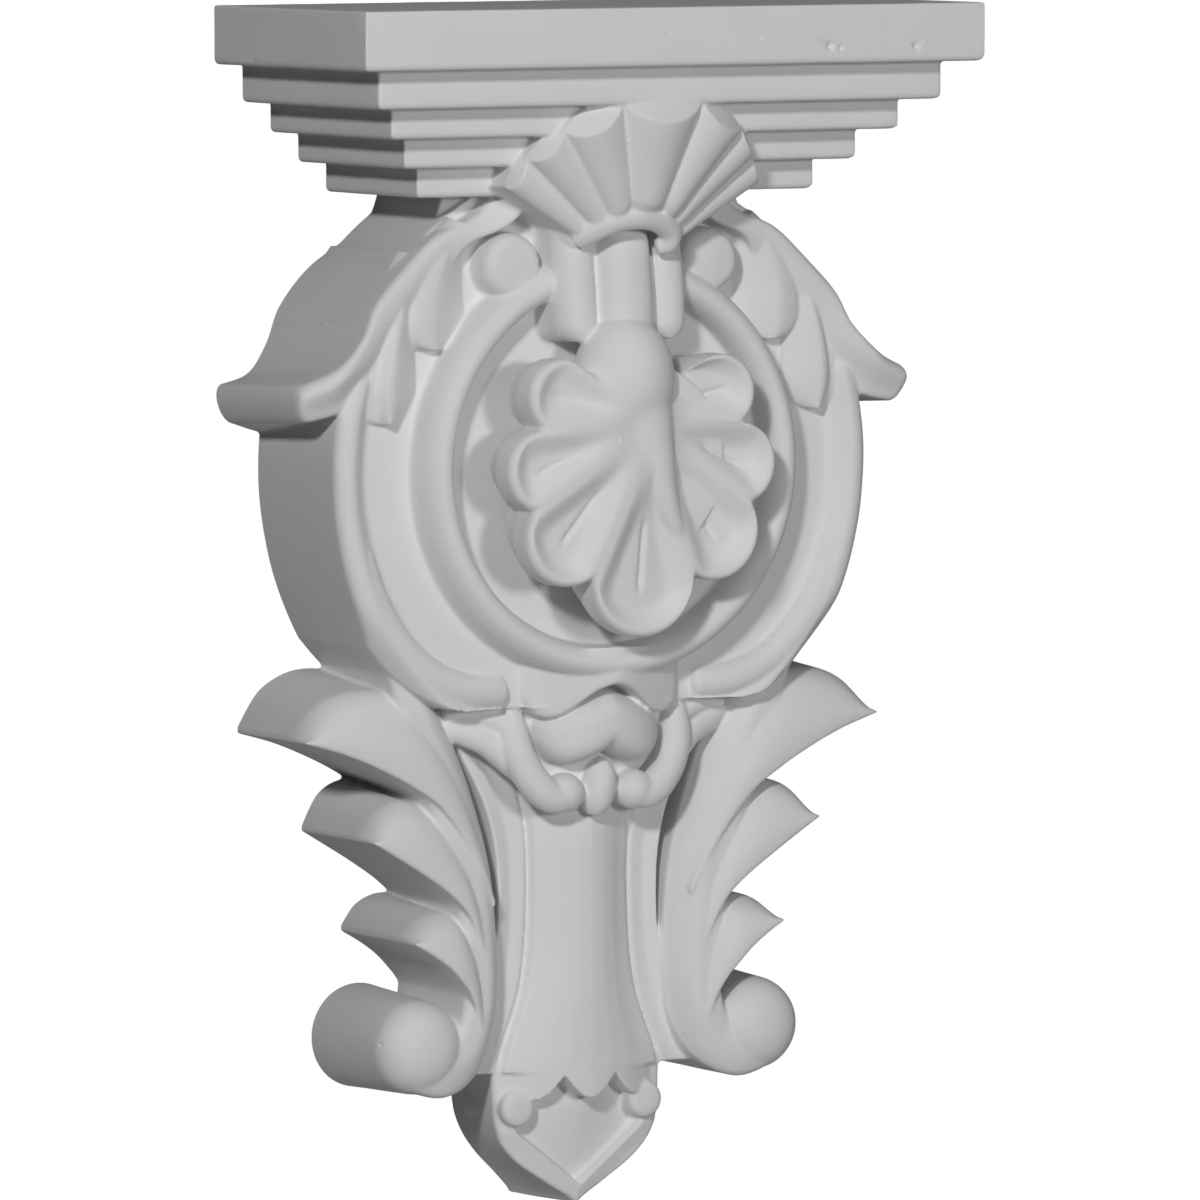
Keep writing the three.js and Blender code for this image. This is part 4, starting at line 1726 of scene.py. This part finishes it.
@dataclass
class Casting:
    """Fuses every shell into the one moulded surface, flat at the back."""

    wear: Wear = Wear()
    grain: float = 0.5
    soften: int = 3
    blend_spot: Triple = (-8.0, 70.0, 116.0)
    blend_radius: float = 24.0
    blend_passes: int = 60
    triangles: int = 192000
    sharp_degrees: float = 55.0
    shells: list[Shell] = field(default_factory=list)

    def add(self, label: str, shells: Sequence[Shell]) -> None:
        """Takes in the shells of one sub-assembly and reports them."""
        self.shells.extend(shells)
        LOG.info("%s: %d forms", label, len(shells))

    def raw(self) -> bpy.types.Object:
        """All shells as one mesh object in millimetres.

        Returns:
            The object, not yet fused.
        """
        whole = joined(self.shells)
        points = whole.points
        placed = np.stack([points[:, 0], -points[:, 1], LEVELS.foot / 2.0 - points[:, 2]], 1)
        mesh = bpy.data.meshes.new("corbel_shells")
        mesh.from_pydata(placed.tolist(), [], whole.faces.tolist())
        mesh.update()
        made = bpy.data.objects.new("corbel_moulding", mesh)
        bpy.context.scene.collection.objects.link(made)
        return made

    def applied(self, made: bpy.types.Object) -> None:
        """Keeps the result of the object's modifiers as its mesh.

        Args:
            made: The mesh object.
        """
        graph = bpy.context.evaluated_depsgraph_get()
        graph.update()
        fixed = bpy.data.meshes.new_from_object(made.evaluated_get(graph))
        old = made.data
        made.modifiers.clear()
        made.data = fixed
        bpy.data.meshes.remove(old)

    def softened(self, made: bpy.types.Object) -> None:
        """Rounds every edge and fillet a little, as a soft mould leaves them, and wears the surface.

        Args:
            made: The mesh object.
        """
        mesh = made.data
        count = len(mesh.vertices)
        points = np.zeros(count * 3, np.float32)
        mesh.vertices.foreach_get("co", points)
        points = points.reshape(-1, 3).astype(float)
        ends = np.zeros(len(mesh.edges) * 2, np.int32)
        mesh.edges.foreach_get("vertices", ends)
        ends = ends.reshape(-1, 2)
        degree = np.bincount(ends.ravel(), minlength=count)[:, None]
        for _ in range(self.soften):
            total = np.zeros_like(points)
            for axis in range(3):
                total[:, axis] += np.bincount(ends[:, 0], points[ends[:, 1], axis], count)
                total[:, axis] += np.bincount(ends[:, 1], points[ends[:, 0], axis], count)
            points = lerp(points, total / np.maximum(degree, 1), 0.5)
        points = self.blended(points, ends)
        normals = np.zeros(count * 3, np.float32)
        mesh.vertices.foreach_get("normal", normals)
        points = points - normals.reshape(-1, 3) * self.wear.sink(points)[:, None]
        mesh.vertices.foreach_set("co", points.astype(np.float32).ravel())
        mesh.update()

    def blended(self, points: Array, ends: Array) -> Array:
        """Melts the bulb's left side and tail into the shell.

        Args:
            points: Every point of the surface, in millimetres.
            ends: The two points of every edge.

        Returns:
            The points, moved round the blended spot alone.
        """
        x, depth, down = self.blend_spot
        away = np.linalg.norm(points - np.array([x, -depth, LEVELS.foot / 2.0 - down]), axis=1)
        weight = eased((self.blend_radius - away) / (self.blend_radius / 2.0))
        near = ends[(weight[ends] > 0.0).any(1)]
        spots, links = np.unique(near, return_inverse=True)
        links = links.reshape(-1, 2)
        moved, share = points[spots], 0.5 * weight[spots][:, None]
        degree = np.maximum(np.bincount(links.ravel(), minlength=len(spots)), 1)[:, None]
        for _ in range(self.blend_passes):
            total = np.zeros_like(moved)
            for axis in range(3):
                total[:, axis] += np.bincount(links[:, 0], moved[links[:, 1], axis], len(spots))
                total[:, axis] += np.bincount(links[:, 1], moved[links[:, 0], axis], len(spots))
            moved = moved + (total / degree - moved) * share
        points[spots] = moved
        return points

    def cut_flat(self, made: bpy.types.Object) -> None:
        """Cuts off what lies behind the wall and closes the back with one flat face.

        Args:
            made: The mesh object.
        """
        work = bmesh.new()
        work.from_mesh(made.data)
        geometry = [*work.verts, *work.edges, *work.faces]
        bmesh.ops.bisect_plane(
            work, geom=geometry, dist=1e-4, plane_co=(0, 0, 0), plane_no=(0, 1, 0), clear_outer=True
        )
        open_edges = [edge for edge in work.edges if edge.is_boundary]
        bmesh.ops.holes_fill(work, edges=open_edges, sides=0)
        bmesh.ops.triangulate(work, faces=[face for face in work.faces if len(face.verts) > 3])
        bmesh.ops.recalc_face_normals(work, faces=work.faces)
        bmesh.ops.scale(work, vec=(MM, MM, MM), verts=work.verts)
        work.to_mesh(made.data)
        work.free()

    def cast(self) -> bpy.types.Object:
        """Makes the finished mesh object, in metres.

        Returns:
            The finished object.
        """
        made = self.raw()
        remesh = made.modifiers.new("fuse", "REMESH")
        remesh.mode = "VOXEL"
        remesh.voxel_size = self.grain
        self.applied(made)
        LOG.info("fused: %d faces", len(made.data.polygons))
        self.softened(made)
        thin = made.modifiers.new("thin", "DECIMATE")
        thin.ratio = self.triangles / (2.0 * len(made.data.polygons))
        thin.use_collapse_triangulate = True
        self.applied(made)
        self.cut_flat(made)
        mesh = made.data
        mesh.polygons.foreach_set("use_smooth", [True] * len(mesh.polygons))
        mesh.set_sharp_from_angle(angle=math.radians(self.sharp_degrees))
        LOG.info("cast: %d triangles", len(mesh.polygons))
        return made


def linear(code: str) -> tuple[float, float, float, float]:
    """Turns an sRGB hex colour into linear values.

    Args:
        code: Six hex digits.

    Returns:
        Red, green, blue and an alpha of 1.
    """
    parts = [int(code[i : i + 2], 16) / 255.0 for i in (0, 2, 4)]
    red, green, blue = (
        part / 12.92 if part <= 0.04045 else ((part + 0.055) / 1.055) ** 2.4 for part in parts
    )
    return red, green, blue, 1.0


def add_node(tree: bpy.types.NodeTree, kind: str, settings: dict, links: dict) -> bpy.types.Node:
    """Adds one node with its settings and links.

    Args:
        tree: Node tree that takes the node.
        kind: Blender's name of the node.
        settings: Attributes of the node, or values of its inputs by their names.
        links: Output sockets by the name of the input that each one feeds.

    Returns:
        The new node.
    """
    node = tree.nodes.new(kind)
    for name, value in settings.items():
        if name in node.inputs:
            node.inputs[name].default_value = value
        else:
            setattr(node, name, value)
    for name, source in links.items():
        tree.links.new(source, node.inputs[name])
    return node


@dataclass(frozen=True)
class PrimedFoam:
    """Rigid polyurethane moulding under a sprayed matt white primer.

    The primer hides the foam, so the eye sees an even chalky white with a faint orange peel from the spray.
    """

    colour: str = "EAEAEA"
    shade: str = "E4E4E4"
    roughness: float = 0.72
    ior: float = 1.5
    peel_mm: float = 0.9
    cloud_mm: float = 28.0
    peel_strength: float = 0.12
    peel_height: float = 0.0002

    def material(self) -> bpy.types.Material:
        """The finish as a procedural material.

        Returns:
            The material.
        """
        made = bpy.data.materials.new("primed_foam")
        made.use_nodes = True
        tree = made.node_tree
        tree.nodes.clear()
        place = add_node(tree, "ShaderNodeTexCoord", {}, {}).outputs["Object"]
        clouds = add_node(
            tree,
            "ShaderNodeTexNoise",
            {"Scale": 1.0 / (self.cloud_mm * MM), "Detail": 3.0},
            {"Vector": place},
        )
        colour = add_node(tree, "ShaderNodeMix", {"data_type": "RGBA"}, {"Factor": clouds.outputs["Fac"]})
        colour.inputs["A"].default_value = linear(self.colour)
        colour.inputs["B"].default_value = linear(self.shade)
        peel = add_node(
            tree,
            "ShaderNodeTexNoise",
            {"Scale": 1.0 / (self.peel_mm * MM), "Detail": 2.0},
            {"Vector": place},
        )
        bumps = add_node(
            tree,
            "ShaderNodeBump",
            {"Strength": self.peel_strength, "Distance": self.peel_height},
            {"Height": peel.outputs["Fac"]},
        )
        shader = add_node(
            tree,
            "ShaderNodeBsdfPrincipled",
            {"Roughness": self.roughness, "IOR": self.ior},
            {"Base Color": colour.outputs["Result"], "Normal": bumps.outputs["Normal"]},
        )
        add_node(tree, "ShaderNodeOutputMaterial", {}, {"Surface": shader.outputs["BSDF"]})
        return made


class Lamp(Enum):
    """Soft lights of the studio: azimuth, elevation, distance, width and power."""

    KEY = (-42.0, 21.8, 2.4, 0.225, 22.4)
    FRONT = (3.0, 8.0, 2.4, 0.35, 14.5)
    TOP = (-25.0, 72.0, 2.4, 1.4, 4.0)


@dataclass(frozen=True)
class Studio:
    """Plain pale floor, soft lights and the camera at the photo's viewing angle."""

    azimuth: float = -30.0
    elevation: float = 4.692
    distance: float = 3.0
    roll: float = -0.102
    lens: float = 304.33
    target: Triple = (0.025512, 0.0, -0.001538)
    floor_level: float = -0.75
    floor_radius: float = 1.0
    ambient: float = 0.014

    def direction(self, azimuth: float, elevation: float) -> Vector:
        """Unit vector from the object towards a place round it."""
        turn, rise = math.radians(azimuth), math.radians(elevation)
        return Vector((math.sin(turn) * math.cos(rise), -math.cos(turn) * math.cos(rise), math.sin(rise)))

    def camera(self) -> None:
        """Places the camera."""
        back = self.direction(self.azimuth, self.elevation)
        right = (-back).cross(Vector((0, 0, 1))).normalized()
        up = right.cross(-back)
        turn = math.radians(self.roll)
        tilted = right * math.cos(turn) + up * math.sin(turn)
        upward = up * math.cos(turn) - right * math.sin(turn)
        place = Vector(self.target) + back * self.distance
        data = bpy.data.cameras.new("view")
        data.sensor_width = 36.0
        data.lens = self.lens
        data.clip_start = 0.1
        data.clip_end = 50.0
        eye = bpy.data.objects.new("view", data)
        rows = [(tilted[i], upward[i], back[i], place[i]) for i in range(3)]
        eye.matrix_world = Matrix([*rows, (0.0, 0.0, 0.0, 1.0)])
        bpy.context.scene.collection.objects.link(eye)
        bpy.context.scene.camera = eye

    def lights(self) -> None:
        """Places the lamps and the even light of the room."""
        for lamp in Lamp:
            azimuth, elevation, distance, width, power = lamp.value
            data = bpy.data.lights.new(lamp.name.lower(), "AREA")
            data.shape = "DISK"
            data.size = width
            data.energy = power
            back = self.direction(azimuth, elevation)
            made = bpy.data.objects.new(lamp.name.lower(), data)
            made.location = back * distance
            made.rotation_mode = "QUATERNION"
            made.rotation_quaternion = back.to_track_quat("Z", "Y")
            bpy.context.scene.collection.objects.link(made)
        world = bpy.data.worlds.new("room")
        world.use_nodes = True
        tree = world.node_tree
        tree.nodes.clear()
        white = (1.0, 1.0, 1.0, 1.0)
        seen = add_node(tree, "ShaderNodeBackground", {"Color": white, "Strength": 1.0}, {})
        even = add_node(tree, "ShaderNodeBackground", {"Color": white, "Strength": self.ambient}, {})
        ray = add_node(tree, "ShaderNodeLightPath", {}, {})
        mixed = add_node(tree, "ShaderNodeMixShader", {}, {"Fac": ray.outputs["Is Camera Ray"]})
        tree.links.new(even.outputs["Background"], mixed.inputs[1])
        tree.links.new(seen.outputs["Background"], mixed.inputs[2])
        add_node(tree, "ShaderNodeOutputWorld", {}, {"Surface": mixed.outputs["Shader"]})
        bpy.context.scene.world = world

    def floor(self) -> None:
        """A pale disc of floor, well below the corbel."""
        work = bmesh.new()
        bmesh.ops.create_circle(work, cap_ends=True, segments=96, radius=self.floor_radius)
        bmesh.ops.translate(work, vec=(0.0, 0.0, self.floor_level), verts=work.verts)
        mesh = bpy.data.meshes.new("studio_floor")
        work.to_mesh(mesh)
        work.free()
        made = bpy.data.objects.new("studio_floor", mesh)
        paint = bpy.data.materials.new("studio_floor")
        paint.use_nodes = True
        shader = paint.node_tree.nodes["Principled BSDF"]
        shader.inputs["Base Color"].default_value = linear("E8E8E6")
        shader.inputs["Roughness"].default_value = 0.8
        mesh.materials.append(paint)
        bpy.context.scene.collection.objects.link(made)

    def build(self) -> None:
        """Makes floor, lights and camera."""
        self.floor()
        self.lights()
        self.camera()
        view = bpy.context.scene.view_settings
        view.view_transform = "Standard"
        view.look = "None"


def main() -> None:
    """Builds the corbel, dresses it and sets up the studio."""
    logging.basicConfig(level=logging.INFO, format="%(name)s: %(message)s")
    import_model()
    casting = Casting()
    casting.add("crown", Crown().shells())
    casting.add("drum", Drum().shells())
    casting.add("palmette", Palmette().shells())
    casting.add("reeds and scrolls", ReedsAndScrolls().shells())
    casting.add("shoulder leaves", ShoulderLeaf().shells())
    casting.add("shell leaf", ShellLeaf().shells())
    casting.add("bud and collar", BudAndCollar().shells())
    casting.add("waist", Waist().shells())
    casting.add("side leaves", SideLeaf().shells())
    casting.add("drop", Drop().shells())
    corbel = casting.cast()
    corbel.data.materials.append(PrimedFoam().material())
    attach(corbel, "root")
    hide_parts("corbel")
    LOG.info("corbel_moulding: one moulded piece")
    Studio().build()


if __name__ == "__main__":
    main()
